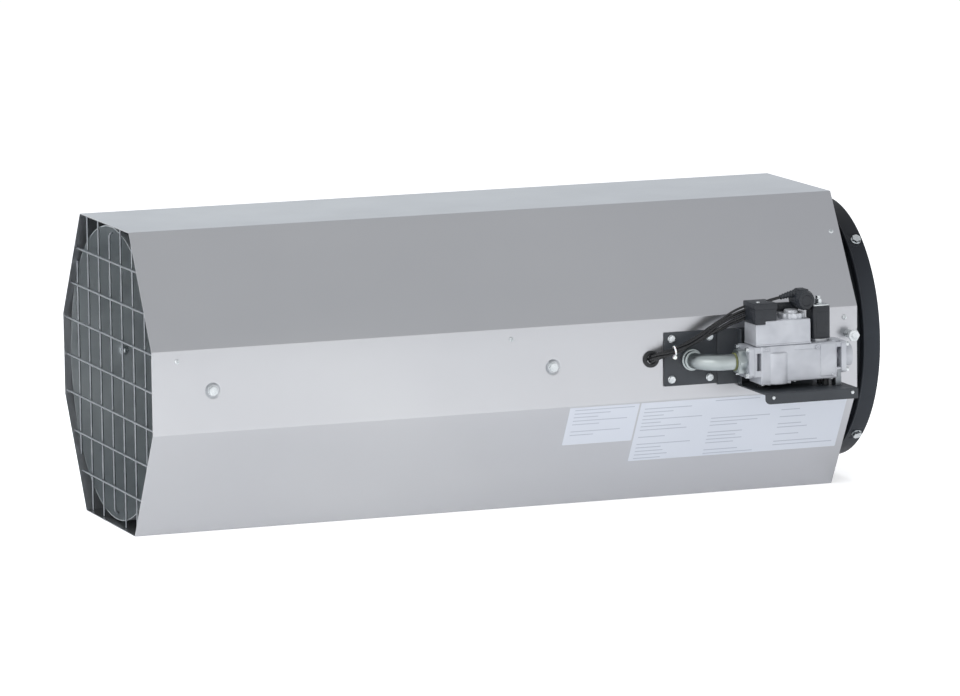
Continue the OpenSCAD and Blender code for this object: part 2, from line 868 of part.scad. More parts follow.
// Bolts that clamp the casing to the tube, each with its washer and its inner nut
module tube_bolts()
{
    nut_z = nut_seat_y - nut_h - dish_floor_y;
    color("lightgray") for (x = [outlet_bolt_x, middle_bolt_x])
        on_both_sides(x, dish_floor_y, axis_z) union() {
            cylinder(r = washer_d / 2, h = washer_t);
            translate([0, 0, washer_t]) hexagon(bolt_af, bolt_head_h);
            translate([0, 0, nut_z]) hexagon(bolt_af, nut_h);
            translate([0, 0, nut_z - bolt_tip]) cylinder(r = bolt_r, h = bolt_tip - nut_z + washer_t);
        }
}

// Studs that stand on the bulkhead's lip and pass out through the shell
module side_studs()
{
    skin = wall_y - sheet_t - stud_base_y;
    color("lightgray") on_both_sides(stud_x, stud_base_y, stud_z) union() {
        cylinder(r = stud_r, h = skin + stud_out);
        for (i = [0 : 2]) translate([0, 0, skin + i * stud_ring_step]) cylinder(r = stud_collar_r, h = stud_collar_h);
        translate([0, 0, skin + stud_out - stud_nut_h]) rotate([0, 0, 30]) hexagon(stud_nut_af, stud_nut_h);
    }
}

// Puts its children at each of the ring's four bolts, drawn outwards along +Z
module at_ring_bolts(r) { for (angle = ring_bolt_angles) on_ring(angle, ring_bolt_x, r) children(); }

// Inlet ring: a neck through the bulkhead, a step, a wide band with a front lip, and a rolled bead
module fan_ring()
{
    inner = neck_r - ring_t;
    profile = [[inner, neck_x0], [neck_r, neck_x0], [neck_r, ring_x0], [ring_r, ring_x0], [ring_r, ring_x1],
        [ring_r - ring_lip, ring_x1], [ring_r - ring_lip, ring_x1 - ring_t], [ring_r - ring_t, ring_x1 - ring_t],
        [ring_r - ring_t, ring_x0 + ring_t], [inner, ring_x0 + ring_t]];
    color("dimgray") difference() {
        translate([0, 0, axis_z]) rotate([0, 90, 0]) union() {
            rotate_extrude() polygon(profile);
            rotate_extrude() translate([ring_r, ring_x0 + bead_r]) circle(r = bead_r);
        }
        at_ring_bolts(ring_r - pocket_depth) translate([-pocket_len / 2, -pocket_w / 2, 0])
            cube([pocket_len, pocket_w, pocket_depth + bead_r + cut]);
        at_ring_bolts(tab_r - cut) cylinder(r = bolt_r + hole_gap, h = ring_r - tab_r + 2 * cut);
    }
}

module ring_bolts()
{
    seat_r = ring_r - pocket_depth;
    nut_z = tab_r - tab_t - nut_h - seat_r;
    color("lightgray") at_ring_bolts(seat_r) union() {
        cylinder(r = washer_d / 2, h = washer_t);
        translate([0, 0, washer_t]) rotate([0, 0, 30]) hexagon(bolt_af, bolt_head_h);
        translate([0, 0, nut_z]) rotate([0, 0, 30]) hexagon(bolt_af, nut_h);
        translate([0, 0, nut_z - bolt_tip / 2]) cylinder(r = bolt_r, h = bolt_tip / 2 - nut_z + washer_t);
    }
}

// Wire guard inside the ring: level wires in front, upright ones behind them
module fan_guard()
{
    wire_r = guard_wire_d / 2;
    pitch = 2 * guard_r / guard_cells;
    color("dimgray") for (i = [1 : guard_cells - 1]) {
        off = i * pitch - guard_r;
        reach = sqrt(pow(guard_r, 2) - pow(abs(off) + wire_r, 2));
        y_rod(wire_r, -reach, reach, guard_x, axis_z + off);
        z_rod(wire_r, axis_z - reach, axis_z + reach, guard_x - guard_wire_d - wire_gap, off);
    }
}

// Motor arms: a middle plate, four arms and their end tabs under the ring's band
module fan_arms()
{
    color("dimgray") difference() {
        union() {
            x_rod(arm_hub_r, arm_x, arm_x + arm_t, 0, axis_z);
            for (angle = ring_bolt_angles) on_ring(angle, 0, 0) {
                block([arm_x, -arm_w / 2, 0], [arm_x + arm_t, arm_w / 2, tab_r]);
                block([arm_x, -arm_w / 2, tab_r - tab_t], [arm_x + tab_len, arm_w / 2, tab_r]);
            }
        }
        at_ring_bolts(tab_r - tab_t - cut) cylinder(r = bolt_r + hole_gap, h = tab_t + 2 * cut);
    }
}

module motor_stator()
{
    color("slategray") difference() {
        union() {
            x_rod(stator_r, stator_x0, stator_x1, 0, axis_z);
            x_rod(rotor_r, stator_x1 - stator_flange_t, stator_x1, 0, axis_z);
        }
        x_rod(bearing_d / 2, stator_x0 - cut, stator_x0 + bearing_in + bearing_w, 0, axis_z);
        x_rod(bearing_d / 2, stator_x1 - bearing_in - bearing_w, stator_x1 + cut, 0, axis_z);
        x_rod(shaft_r + shaft_room, stator_x0 - cut, stator_x1 + cut, 0, axis_z);
    }
}

module motor_bearings()
{
    color("silver") for (x = [stator_x0 + bearing_in, stator_x1 - bearing_in - bearing_w])
        translate([x, 0, axis_z]) rotate([0, 90, 0]) disc(bearing_d / 2, shaft_r + running_gap, bearing_w);
}

module motor_rotor()
{
    color("darkslategray") difference() {
        x_rod(rotor_r, rotor_x0, rotor_x1, 0, axis_z);
        x_rod(rotor_r - rotor_wall, rotor_x0 + rotor_end_t, rotor_x1 + cut, 0, axis_z);
        x_rod(shaft_r + press_gap, rotor_x0 - cut, rotor_x1, 0, axis_z);
    }
}

module motor_shaft() { color("silver") x_rod(shaft_r, shaft_x0, shaft_x1, 0, axis_z); }

// One side of a blade's curved section, along its chord
function blade_edge(side) = [for (i = [0 : blade_steps])
    let (s = side * (2 * i / blade_steps - 1))
    [s * blade_w / 2, blade_w * blade_camber_share * (1 - s * s) - side * blade_t / 2]];

module fan_blades()
{
    hub_r0 = rotor_r + press_gap;
    color("dimgray") union() {
        translate([hub_x0, 0, axis_z]) rotate([0, 90, 0]) disc(hub_r0 + blade_hub_t, hub_r0, hub_x1 - hub_x0);
        for (i = [0 : blade_n - 1]) intersection() {
            on_ring(i * 360 / blade_n, blade_x, 0) translate([0, 0, rotor_r / 2]) linear_extrude(blade_tip_r)
                rotate(90 - blade_pitch) polygon(concat(blade_edge(1), blade_edge(-1)));
            translate([rotor_x0, 0, axis_z]) rotate([0, 90, 0])
                disc(blade_tip_r, hub_r0 + blade_hub_t / 2, rotor_len);
        }
    }
}

module burner_pipe()
{
    color("silver") difference() {
        y_rod(pipe_r, -wall_y - plate_t - socket_len, -head_r + pipe_grip, burner_x, gas_z);
        y_rod(pipe_bore_r, -wall_y - plate_t - socket_len - cut, -head_r + pipe_grip + cut, burner_x, gas_z);
    }
}

module burner_head()
{
    color("peru") difference() {
        x_rod(head_r, head_x0, head_x1, 0, gas_z);
        y_rod(pipe_r + socket_gap, -head_r - cut, -head_r + pipe_grip, burner_x, gas_z);
        y_rod(nozzle_d / 2, -head_r, 0, burner_x, gas_z);
        x_rod(nozzle_d / 2 + socket_gap, head_x0 - cut, burner_x, 0, gas_z);
    }
}

module gas_nozzle()
{
    color("goldenrod") difference() {
        union() {
            x_rod(nozzle_d / 2, disc_x - nozzle_len, head_x0 + nozzle_grip, 0, gas_z);
            translate([disc_x - nozzle_hex_h, 0, gas_z]) rotate([0, 90, 0]) hexagon(nozzle_af, nozzle_hex_h);
        }
        x_rod(nozzle_bore_r, disc_x - nozzle_len - cut, head_x0 + nozzle_grip + cut, 0, gas_z);
    }
}

// Puts its children at each electrode, drawn along +X from the disc
module at_electrodes()
{
    for (angle = electrode_angles) translate([0, electrode_r * cos(angle), gas_z + electrode_r * sin(angle)]) children();
}

module flame_disc()
{
    color("silver") difference() {
        x_rod(cup_back_r, disc_x, head_x0, 0, gas_z);
        x_rod(nozzle_d / 2 + hole_gap, disc_x - cut, head_x0 + cut, 0, gas_z);
        for (angle = disc_hole_angles) translate([0, electrode_r * cos(angle), gas_z + electrode_r * sin(angle)])
            x_rod(disc_hole_r, disc_x - cut, head_x0 + cut);
        at_electrodes() x_rod(ceramic_d / 2 + socket_gap, disc_x - cut, head_x0 + cut);
    }
}

module flame_cup()
{
    color("silver") translate([disc_x, 0, gas_z]) rotate([0, -90, 0]) difference() {
        cylinder(r1 = cup_back_r, r2 = cup_r, h = cup_len);
        cylinder(r1 = cup_back_r - cup_t, r2 = cup_r - cup_t, h = cup_len);
    }
}

module electrode_ceramics()
{
    color("ivory") at_electrodes() difference() {
        x_rod(ceramic_d / 2, disc_x - ceramic_front, disc_x + ceramic_back);
        x_rod(electrode_d / 2 + socket_gap, disc_x - ceramic_front - cut, disc_x + ceramic_back + cut);
    }
}

module electrode_rods()
{
    color("silver") at_electrodes() x_rod(electrode_d / 2, disc_x - ceramic_front - electrode_reach, disc_x + ceramic_back + pipe_grip / 2);
}

// Puts its children at each burner plate screw, drawn outwards along +Z from the plate's face
module at_plate_screws()
{
    for (sx = [-1, 1], sz = [-1, 1])
        on_side(-1, burner_x + sx * plate_pitch / 2, wall_y + plate_t, axis_z + sz * plate_pitch / 2) children();
}

module burner_plate()
{
    color("dimgray") difference() {
        block([burner_x - plate_w / 2, -wall_y - plate_t, plate_z0], [plate_x1, -wall_y, plate_z1]);
        y_rod(pipe_r + plate_hole_gap, -wall_y - plate_t - cut, -wall_y + cut, burner_x, gas_z);
        at_plate_screws() translate([0, 0, -plate_t - cut]) cylinder(r = plate_screw_d / 2 + hole_gap, h = plate_t + 2 * cut);
    }
}

module plate_screws()
{
    color("lightgray") at_plate_screws() union() {
        cylinder(r1 = plate_screw_flange_d / 2, r2 = plate_screw_af / 2, h = plate_screw_head_h / 3);
        hexagon(plate_screw_af, plate_screw_head_h);
        translate([0, 0, -plate_screw_len]) cylinder(r = plate_screw_d / 2, h = plate_screw_len + cut);
    }
}

// A quarter bend from the burner's pipe to the run beside the casing
module bend(r)
{
    translate([burner_x + bend_r, gas_y + bend_r, gas_z]) rotate([0, 0, 180])
        rotate_extrude(angle = 90) translate([bend_r, 0]) circle(r = r);
}

module gas_elbow()
{
    color("silver") difference() {
        union() {
            y_rod(collar_d / 2, collar_y0 - collar_len, collar_y0, burner_x, gas_z);
            y_rod(pipe_r + collar_ring, collar_y1, collar_y0, burner_x, gas_z);
            bend(pipe_r);
            x_rod(pipe_r, burner_x + bend_r, union_x1, gas_y, gas_z);
        }
        y_rod(pipe_r + socket_gap, -wall_y - plate_t - socket_len, collar_y0 + cut, burner_x, gas_z);
        y_rod(pipe_bore_r, collar_y1, collar_y0, burner_x, gas_z);
        bend(pipe_bore_r);
        x_rod(pipe_bore_r, burner_x + bend_r, union_x1 + cut, gas_y, gas_z);
    }
}

module pipe_seal()
{
    color("darkolivegreen") translate([elbow_x1 - seal_w, gas_y, gas_z]) rotate([0, 90, 0])
        disc(pipe_r + seal_w / 2, pipe_r + socket_gap, seal_w);
}

module union_nut()
{
    color("silver") translate([elbow_x1, gas_y, gas_z]) rotate([0, 90, 0]) difference() {
        rotate([0, 0, 30]) hexagon(union_af, union_len);
        translate([0, 0, -cut]) cylinder(r = pipe_r + socket_gap, h = union_len + 2 * cut);
    }
}

// Puts its children at each flange screw's seat, drawn outwards along +Z
module at_flange_screws(x, side)
{
    for (sy = [-1, 1], sz = [-1, 1])
        translate([x, gas_y + sy * flange_pitch / 2, gas_z + sz * flange_pitch / 2]) rotate([0, side * 90, 0]) children();
}

// A square flange with its screw holes, its low face at x
module flange_plate(x)
{
    difference() {
        translate([x, gas_y, gas_z]) rotate([0, 90, 0]) rounded_slab(flange_w, flange_w, flange_t, flange_corner_r);
        at_flange_screws(x - cut, 1) cylinder(r = flange_screw_r + hole_gap, h = flange_t + 2 * cut);
    }
}

module outlet_flange()
{
    color("silver") difference() {
        flange_plate(union_x1);
        x_rod(gas_bore_r, union_x1 - cut, body_x0 + cut, gas_y, gas_z);
    }
}

module inlet_flange()
{
    face_x = body_x1 + flange_t + hub_len;
    color("silver") difference() {
        union() {
            flange_plate(body_x1);
            x_rod(hub_r, body_x1 + flange_t / 2, face_x, gas_y, gas_z);
        }
        x_rod(inlet_neck_r, body_x1 - cut, face_x, gas_y, gas_z);
        x_rod(inlet_bore / 2, face_x - inlet_depth, face_x + cut, gas_y, gas_z);
    }
}

module flange_screws()
{
    color("lightgray") for (end = [[union_x1, -1], [body_x1 + flange_t, 1]])
        at_flange_screws(end[0], end[1]) union() {
            cylinder(r = flange_screw_head_r, h = flange_screw_head_h);
            translate([0, 0, -flange_t - flange_screw_grip])
                cylinder(r = flange_screw_r, h = flange_t + flange_screw_grip + cut);
        }
}

// Room cut into a neck's front, from x0 to x1
module neck_slot(x0, x1, h)
{
    block([x0 + neck_slot_in, body_y0 - cut, gas_z - h / 2], [x1 - neck_slot_in, body_y0 + neck_slot_depth, gas_z + h / 2]);
}

module valve_body()
{
    color("gainsboro") difference() {
        union() {
            block([block_x0, body_y0, body_z0], [block_x1, body_y1, body_z1]);
            block([block_x0, body_y0, cover_z0], [block_x0 + cover_len, body_y1, body_z0]);
            for (end = [[body_x0, out_neck_len], [block_x1, in_neck_len]])
                translate([end[0], gas_y, gas_z]) rotate([0, 90, 0])
                    rounded_slab(neck_w, neck_w, end[1], flange_corner_r);
            z_rod(bulge_r, cover_z0, body_z1 - bulge_below, bulge_x, body_y0 + bulge_r - bulge_out);
        }
        neck_slot(body_x0, block_x0, out_slot_h);
        neck_slot(block_x1, body_x1, in_slot_h);
        x_rod(gas_bore_r, body_x0 - cut, low_bore_x, gas_y, gas_z);
        x_rod(gas_bore_r, coil_x, body_x1 + cut, gas_y, gas_z);
        z_rod(chamber_r, seat_z, body_z1 + cut, coil_x, gas_y);
        z_rod(seat_hole_r, low_bore_z, seat_z + cut, coil_x, gas_y);
        x_rod(low_bore_r, low_bore_x, coil_x, gas_y, low_bore_z);
        z_rod(low_bore_r, low_bore_z, gas_z, low_bore_x - low_bore_r, gas_y);
        at_flange_screws(body_x0 - cut, 1) cylinder(r = flange_screw_r + hole_gap, h = flange_screw_grip + 2 * cut);
        at_flange_screws(body_x1 + cut, -1) cylinder(r = flange_screw_r + hole_gap, h = flange_screw_grip + 2 * cut);
    }
}

module regulator_block()
{
    color("gainsboro") union() {
        block([reg_x0, body_y0, body_z1], [reg_x0 + reg_len, reg_y1, reg_z1 - reg_step]);
        block([reg_x0 + reg_step_len, body_y0, body_z1], [reg_x0 + reg_len, reg_y1, reg_z1]);
    }
}

module regulator_cap()
{
    color("gray") translate([cap_x, gas_y, reg_z1]) union() {
        cylinder(r = cap_d / 2 - cap_rib / 2, h = cap_h);
        cylinder(r = cap_dome_d / 2, h = cap_h + cap_dome_h);
        for (i = [0 : cap_rib_n - 1]) rotate(i * 360 / cap_rib_n)
            translate([cap_d / 2 - cap_rib, 0, 0]) cylinder(r = cap_rib, h = cap_h - cap_rib);
    }
}

module solenoid_tube()
{
    color("silver") translate([coil_x, gas_y, body_z1]) difference() {
        union() {
            cylinder(r = core_flange_r, h = core_flange_t);
            cylinder(r = core_r, h = coil_z1 - body_z1);
            cylinder(r = core_stud_r, h = core_top - body_z1);
        }
        translate([0, 0, -cut]) cylinder(r = core_r - core_wall, h = coil_z1 - core_closed - body_z1 + cut);
    }
}

module solenoid_coil()
{
    color("dimgray") translate([coil_x, gas_y, coil_z0]) difference() {
        rounded_slab(coil_w, coil_w, coil_h, coil_corner_r);
        translate([0, 0, -cut]) cylinder(r = core_r + coil_gap, h = coil_h + 2 * cut);
    }
}

module coil_plate()
{
    color("silver") translate([coil_x, gas_y, coil_z1]) difference() {
        rounded_slab(coil_plate_w, coil_plate_w, coil_plate_t, coil_corner_r);
        translate([0, 0, -cut]) cylinder(r = core_stud_r + coil_gap, h = coil_plate_t + 2 * cut);
    }
}

module coil_nut()
{
    color("silver") translate([coil_x, gas_y, coil_z1 + coil_plate_t]) difference() {
        hexagon(coil_nut_af, coil_nut_h);
        translate([0, 0, -cut]) cylinder(r = core_stud_r + socket_gap, h = core_top - coil_z1 - coil_plate_t + 2 * cut);
    }
}

module valve_plunger()
{
    color("gray") translate([coil_x, gas_y, 0]) union() {
        z_rod(disc_r, seat_z, seat_z + disc_h);
        z_rod(stem_r, seat_z, armature_z1);
        z_rod(armature_r, armature_z0, armature_z1);
    }
}

// Spring between the sealing disc and the guide tube's flange
module plunger_spring()
{
    z0 = seat_z + disc_h + spring_gap + spring_wire_d / 2;
    z1 = body_z1 - spring_gap - spring_wire_d / 2;
    steps = spring_turns * spring_steps;
    rings = [for (i = [0 : steps]) let (a = i * 360 / spring_steps)
        [[spring_r * cos(a), spring_r * sin(a), z0 + (z1 - z0) * i / steps], [cos(a), sin(a), 0], [0, 0, 1]]];
    color("silver") translate([coil_x, gas_y, 0]) sweep(rings, spring_wire_d / 2, spring_sides);
}

// A tube swept through rings, each given by its middle and two square directions
module sweep(rings, r, sides)
{
    pts = [for (ring = rings, k = [0 : sides - 1])
        ring[0] + r * (cos(k * 360 / sides) * ring[1] + sin(k * 360 / sides) * ring[2])];
    last = len(rings) - 1;
    faces = concat(
        [[for (k = [0 : sides - 1]) k]],
        [for (i = [0 : last - 1], k = [0 : sides - 1])
            let (a = i * sides + k, b = i * sides + (k + 1) % sides) [a, a + sides, b + sides, b]],
        [[for (k = [sides - 1 : -1 : 0]) last * sides + k]]);
    polyhedron(pts, faces, convexity = 6);
}

module valve_connector()
{
    x1 = conn_x0 + conn_len;
    y0 = body_y0;
    arm_z = reg_z1 + conn_arm_rise;
    color("dimgray") difference() {
        union() {
            block([conn_x0, y0, conn_z0], [reg_x0 + reg_step_len - conn_gap, y0 + conn_depth, conn_top]);
            block([conn_x0, y0, reg_z1], [x1, y0 + conn_depth, conn_top]);
            block([x1 - cut, arm_y0, arm_z], [plug_x, arm_y1, arm_z + conn_arm_h]);
        }
        y_rod(plug_r + socket_gap, arm_y0 - cut, arm_y1 + cut, plug_x, plug_z);
        z_rod(conn_screw_r / 2 + socket_gap, conn_top - conn_screw_h * 2, conn_top + cut, conn_screw_x, conn_screw_y);
    }
}

module connector_screw()
{
    color("silver") translate([conn_screw_x, conn_screw_y, conn_top]) union() {
        cylinder(r1 = conn_screw_r, r2 = conn_screw_r * 3 / 4, h = conn_screw_h);
        translate([0, 0, -conn_screw_h * 2]) cylinder(r = conn_screw_r / 2, h = conn_screw_h * 2 + cut);
    }
}

// Round plug on the arm's end, with a stalk down to the coil's side
module coil_plug()
{
    y0 = gas_y - plug_len / 2;
    color("dimgray") union() {
        y_rod(plug_r, y0, y0 + plug_len, plug_x, plug_z);
        y_rod(plug_r - plug_rim, y0 - plug_rim, y0, plug_x, plug_z);
        block([plug_x + stalk_in, gas_y - plug_r / 2, coil_z1 - stalk_down],
            [coil_x - coil_w / 2, gas_y + plug_r / 2, plug_z - plug_r / 2]);
    }
}

module valve_feet()
{
    color("silver") {
        z_rod(foot_r, tray_z1, cover_z0, block_x0 + foot_in, body_y1 - foot_in);
        for (y = [body_y0 + foot_in, body_y1 - foot_in]) z_rod(foot_r, tray_z1, body_z0, block_x1 - foot_in, y);
        block([body_x1 - leg_len, body_y0, tray_z1], [body_x1, body_y0 + leg_w, body_z0]);
        block([block_x1, body_y0, tray_z1], [body_x1, body_y0 + leg_w, gas_z - neck_w / 2]);
    }
}

// Bracket on the casing, shelf under the valve and the lip along its front
module valve_tray()
{
    y1 = -wall_y;
    corner_x = tray_x0 + lip_corner_r;
    corner_z = lip_z0 + lip_corner_r;
    color("dimgray") difference() {
        union() {
            block([plate_x1 + bracket_gap, y1 - plate_t, bracket_z0], [bracket_x1, y1, plate_z1]);
            block([tray_x0, y1 - plate_t, tray_z0], [bracket_x1, y1, plate_z1]);
            block([fold_x, y1 - fold_depth, bracket_z0], [fold_x + plate_t, y1, plate_z1]);
            block([tray_x0, tray_y0, tray_z0], [tray_x1, y1, tray_z1]);
            block([tray_x0, tray_y0, corner_z], [tray_x1, tray_y0 + plate_t, tray_z1]);
            block([corner_x, tray_y0, lip_z0], [tray_x1, tray_y0 + plate_t, tray_z1]);
            y_rod(lip_corner_r, tray_y0, tray_y0 + plate_t, corner_x, corner_z);
        }
        for (x = rivet_xs) y_rod(rivet_r / 2 + hole_gap, tray_y0 - cut, tray_y0 + plate_t + cut, x, rivet_z);
    }
}

module tray_rivets()
{
    color("lightgray") for (x = rivet_xs) translate([x, tray_y0, rivet_z]) union() {
        rotate([90, 0, 0]) cylinder(r1 = rivet_r, r2 = rivet_r / 2, h = rivet_h);
        y_rod(rivet_r / 2, 0, plate_t);
        translate([0, plate_t, 0]) rotate([-90, 0, 0]) cylinder(r1 = rivet_r, r2 = rivet_r / 2, h = rivet_h);
    }
}

module lead_grommet()
{
    y0 = wall_y - sheet_t;
    color("dimgray") on_side(-1, grommet_x, y0, grommet_z) difference() {
        union() {
            cylinder(r1 = grommet_d / 2, r2 = grommet_d / 2 - grommet_round, h = grommet_lip);
            translate([0, 0, -sheet_t]) cylinder(r = grommet_groove_r, h = sheet_t + cut);
            translate([0, 0, -2 * sheet_t]) cylinder(r = grommet_groove_r + grommet_inner_lip_w, h = sheet_t);
        }
        translate([0, 0, -3 * sheet_t]) cylinder(r = grommet_bore / 2, h = grommet_lip + 3 * sheet_t + cut);
    }
}

// A point on the bundle's middle line, its direction, and the two directions square to it
function lead_at(i) = [grommet_x, -wall_y, grommet_z]
    + [LEAD[i][0] * lead_stretch[0], -LEAD[i][1], LEAD[i][2] * lead_stretch[2]];
function unit(v) = v / norm(v);
function lead_dir(i) = i == 0 ? [0, -1, 0] : i == lead_last ? [1, 0, 0] : unit(lead_at(i + 1) - lead_at(i - 1));
function lead_u(i) = unit(cross(lead_side, lead_dir(i)));
function lead_v(i) = cross(lead_dir(i), lead_u(i));
function strand_at(i, a) = lead_at(i) + lead_r * (cos(a) * lead_u(i) + sin(a) * lead_v(i));

module valve_leads()
{
    color("dimgray") for (k = [0 : lead_n - 1])
        sweep([for (i = [0 : lead_last])
            [strand_at(i, k * 360 / lead_n + i * lead_twist), lead_u(i), lead_v(i)]], lead_d / 2, lead_sides);
}

module cable_tie()
{
    dir = lead_dir(tie_point);
    color("white") translate(lead_at(tie_point)) union() {
        rotate([0, acos(dir[2]), atan2(dir[1], dir[0])]) translate([0, 0, -tie_w / 2]) disc(tie_r + tie_t, tie_r, tie_w);
        translate([-tie_head_w / 2, -tie_head_w / 2, -tie_r - tie_head_w]) cube([tie_head_w, tie_head_w, tie_head_w - tie_t / 2]);
        translate([-tie_t / 2, -tie_w / 2, -tie_r - tie_tail]) cube([tie_t, tie_w, tie_tail]);
        translate([0, 0, -tie_r - tie_tail]) sphere(r = tie_bead_r);
    }
}

// Puts its children on the lower slant of the valve's side, below the band by a distance along it
module on_lower_slant(x, down)
{
    edge = section(sheet_t, sheet_t, 0)[0];
    translate([x, -edge[0] + down * slant_nz, axis_z - edge[1] - down * slant_ny])
        rotate([90 + slant_tilt, 0, 0]) children();
}

module blank_labels()
{
    color("lavender") {
        on_lower_slant(label_a_x, label_top + label_a_h) translate([0, 0, label_glue]) cube([label_a_len, label_a_h, label_t]);
        on_lower_slant(label_b_x, label_top + label_b_h) translate([0, 0, label_glue]) cube([label_b_len, label_b_h, label_t]);
    }
}

// Puts its children at the control box's middle, drawn outwards along +Z from a distance off the casing
module on_box(out) { translate([box_x0 + box_len / 2, box_y0 + out, axis_z]) rotate([-90, 0, 0]) children(); }

module at_lid_screws(out)
{
    on_box(out) for (sx = [-1, 1], sy = [-1, 1])
        translate([sx * (box_len / 2 - lid_screw_in), sy * (box_h / 2 - lid_screw_in), 0]) children();
}

module control_box()
{
    color("gray") difference() {
        union() {
            difference() {
                on_box(0) rounded_slab(box_len, box_h, box_depth, box_corner_r);
                on_box(box_wall) rounded_slab(box_len - 2 * box_wall, box_h - 2 * box_wall, box_depth, box_corner_r - box_wall);
            }
            at_lid_screws(box_depth - lid_boss_len) cylinder(r = lid_boss_r, h = lid_boss_len);
        }
        at_lid_screws(box_depth - lid_boss_len - cut) cylinder(r = lid_screw_r + socket_gap, h = lid_boss_len + 2 * cut);
        z_rod(gland_bore / 2 + gland_wall, box_z0 - cut, box_z0 + box_wall + cut, gland_x, gland_y);
    }
}

module control_lid()
{
    color("gray") difference() {
        on_box(box_depth) rounded_slab(box_len, box_h, lid_t, box_corner_r);
        at_lid_screws(box_depth - cut) cylinder(r = lid_screw_r + hole_gap, h = lid_t + 2 * cut);
        y_rod(button_d / 2 + seat_gap, box_y1 - cut, box_y1 + lid_t + cut, button_x, button_z);
    }
}

module lid_screws()
{
    color("lightgray") at_lid_screws(box_depth + lid_t) union() {
        cylinder(r1 = lid_screw_head_r, r2 = lid_screw_head_r * 3 / 4, h = lid_screw_head_h);
        translate([0, 0, -lid_t - lid_boss_len / 2]) cylinder(r = lid_screw_r, h = lid_t + lid_boss_len / 2 + cut);
    }
}

module reset_button()
{
    color("firebrick") union() {
        y_rod(button_stem / 2, box_y1 - button_flange_t - button_stem, box_y1, button_x, button_z);
        y_rod(button_d / 2 + button_flange, box_y1 - button_flange_t, box_y1, button_x, button_z);
        y_rod(button_d / 2, box_y1 - button_flange_t, box_y1 + lid_t + button_out, button_x, button_z);
    }
}

module cable_gland()
{
    r = gland_bore / 2 + gland_wall;
    color("dimgray") translate([gland_x, gland_y, box_z0]) difference() {
        union() {
            translate([0, 0, -gland_out]) cylinder(r1 = r, r2 = r + gland_wall, h = gland_out / 2);
            translate([0, 0, -gland_out / 2]) cylinder(r = r, h = gland_out / 2 + box_wall + gland_in);
            translate([0, 0, -gland_nut_h]) hexagon(2 * r + 3 * gland_wall, gland_nut_h);
            translate([0, 0, box_wall]) hexagon(2 * r + 2 * gland_wall, locknut_h);
        }
        translate([0, 0, -gland_out - cut]) cylinder(r = gland_bore / 2, h = gland_out + box_wall + gland_in + 2 * cut);
    }
}

// A device standing on the box's back wall, its low corner given from the box's low corner
module device(x, up, w, d, h) { translate([box_x0 + x, box_y0 + box_wall, box_z0 + up]) cube([w, d, h]); }

module burner_controller()
{
    color("steelblue") device(device_x, box_h - device_gap - controller_h, controller_w, controller_d, controller_h);
}

module ignition_transformer()
{
    color("darkslategray") device(device_x + controller_w + device_gap, box_h - device_gap - transformer_h,
        transformer_w, transformer_d, transformer_h);
}

module terminal_strip()
{
    x = device_x + controller_w + device_gap;
    cell = terminal_w / terminal_n;
    color("ivory") union() {
        device(x, device_gap, terminal_w, terminal_d, terminal_h);
        for (i = [0 : terminal_n - 1])
            device(x + (i + 1 / 4) * cell, device_gap, cell / 2, terminal_d + terminal_rise, terminal_h);
    }
}

lower_casing();
upper_casing();
casing_screws();
end_plate();
outlet_grille();
combustion_tube();
tube_bolts();
side_studs();
fan_ring();
ring_bolts();
fan_guard();
fan_arms();
motor_stator();
motor_bearings();
motor_rotor();
motor_shaft();
fan_blades();
burner_pipe();
burner_head();
gas_nozzle();
flame_disc();
flame_cup();
electrode_ceramics();
electrode_rods();
burner_plate();
plate_screws();
gas_elbow();
pipe_seal();
union_nut();
outlet_flange();
inlet_flange();
flange_screws();
valve_body();
regulator_block();
regulator_cap();
solenoid_tube();
solenoid_coil();
coil_plate();
coil_nut();
valve_plunger();
plunger_spring();
valve_connector();
connector_screw();
coil_plug();
valve_feet();
valve_tray();
tray_rivets();
lead_grommet();
valve_leads();
cable_tie();
blank_labels();
control_box();
control_lid();
lid_screws();
reset_button();
cable_gland();
burner_controller();
ignition_transformer();
terminal_strip();
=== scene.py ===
import math
import bmesh
import bpy
import numpy as np
from mathutils import Matrix


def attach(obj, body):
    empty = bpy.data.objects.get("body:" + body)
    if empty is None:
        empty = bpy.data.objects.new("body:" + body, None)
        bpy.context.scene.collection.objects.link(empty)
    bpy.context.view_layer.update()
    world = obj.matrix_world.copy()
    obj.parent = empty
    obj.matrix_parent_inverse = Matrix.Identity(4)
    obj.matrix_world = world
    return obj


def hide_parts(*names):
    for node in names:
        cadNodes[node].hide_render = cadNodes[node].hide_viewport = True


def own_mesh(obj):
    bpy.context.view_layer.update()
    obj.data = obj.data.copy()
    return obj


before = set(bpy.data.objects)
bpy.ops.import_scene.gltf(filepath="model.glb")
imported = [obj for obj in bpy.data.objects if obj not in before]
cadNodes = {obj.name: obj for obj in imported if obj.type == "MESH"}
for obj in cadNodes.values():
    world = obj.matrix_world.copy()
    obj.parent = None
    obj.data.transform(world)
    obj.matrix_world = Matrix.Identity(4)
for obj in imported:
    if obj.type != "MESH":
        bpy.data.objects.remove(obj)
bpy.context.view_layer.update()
print("frame loaded, nodes:", len(cadNodes))

# Shapes are worked out in millimetres and turned into metres when their mesh is made
metre = 0.001
scene = bpy.context.scene


def addObject(name, data):
    made = bpy.data.objects.new(name, data)
    scene.collection.objects.link(made)
    return made


# The matrix that stands an object at a place: its three axes and the place are the columns
def placeMatrix(*columns):
    return Matrix([[column[i] for column in columns] for i in range(3)] + [[0, 0, 0, 1]])


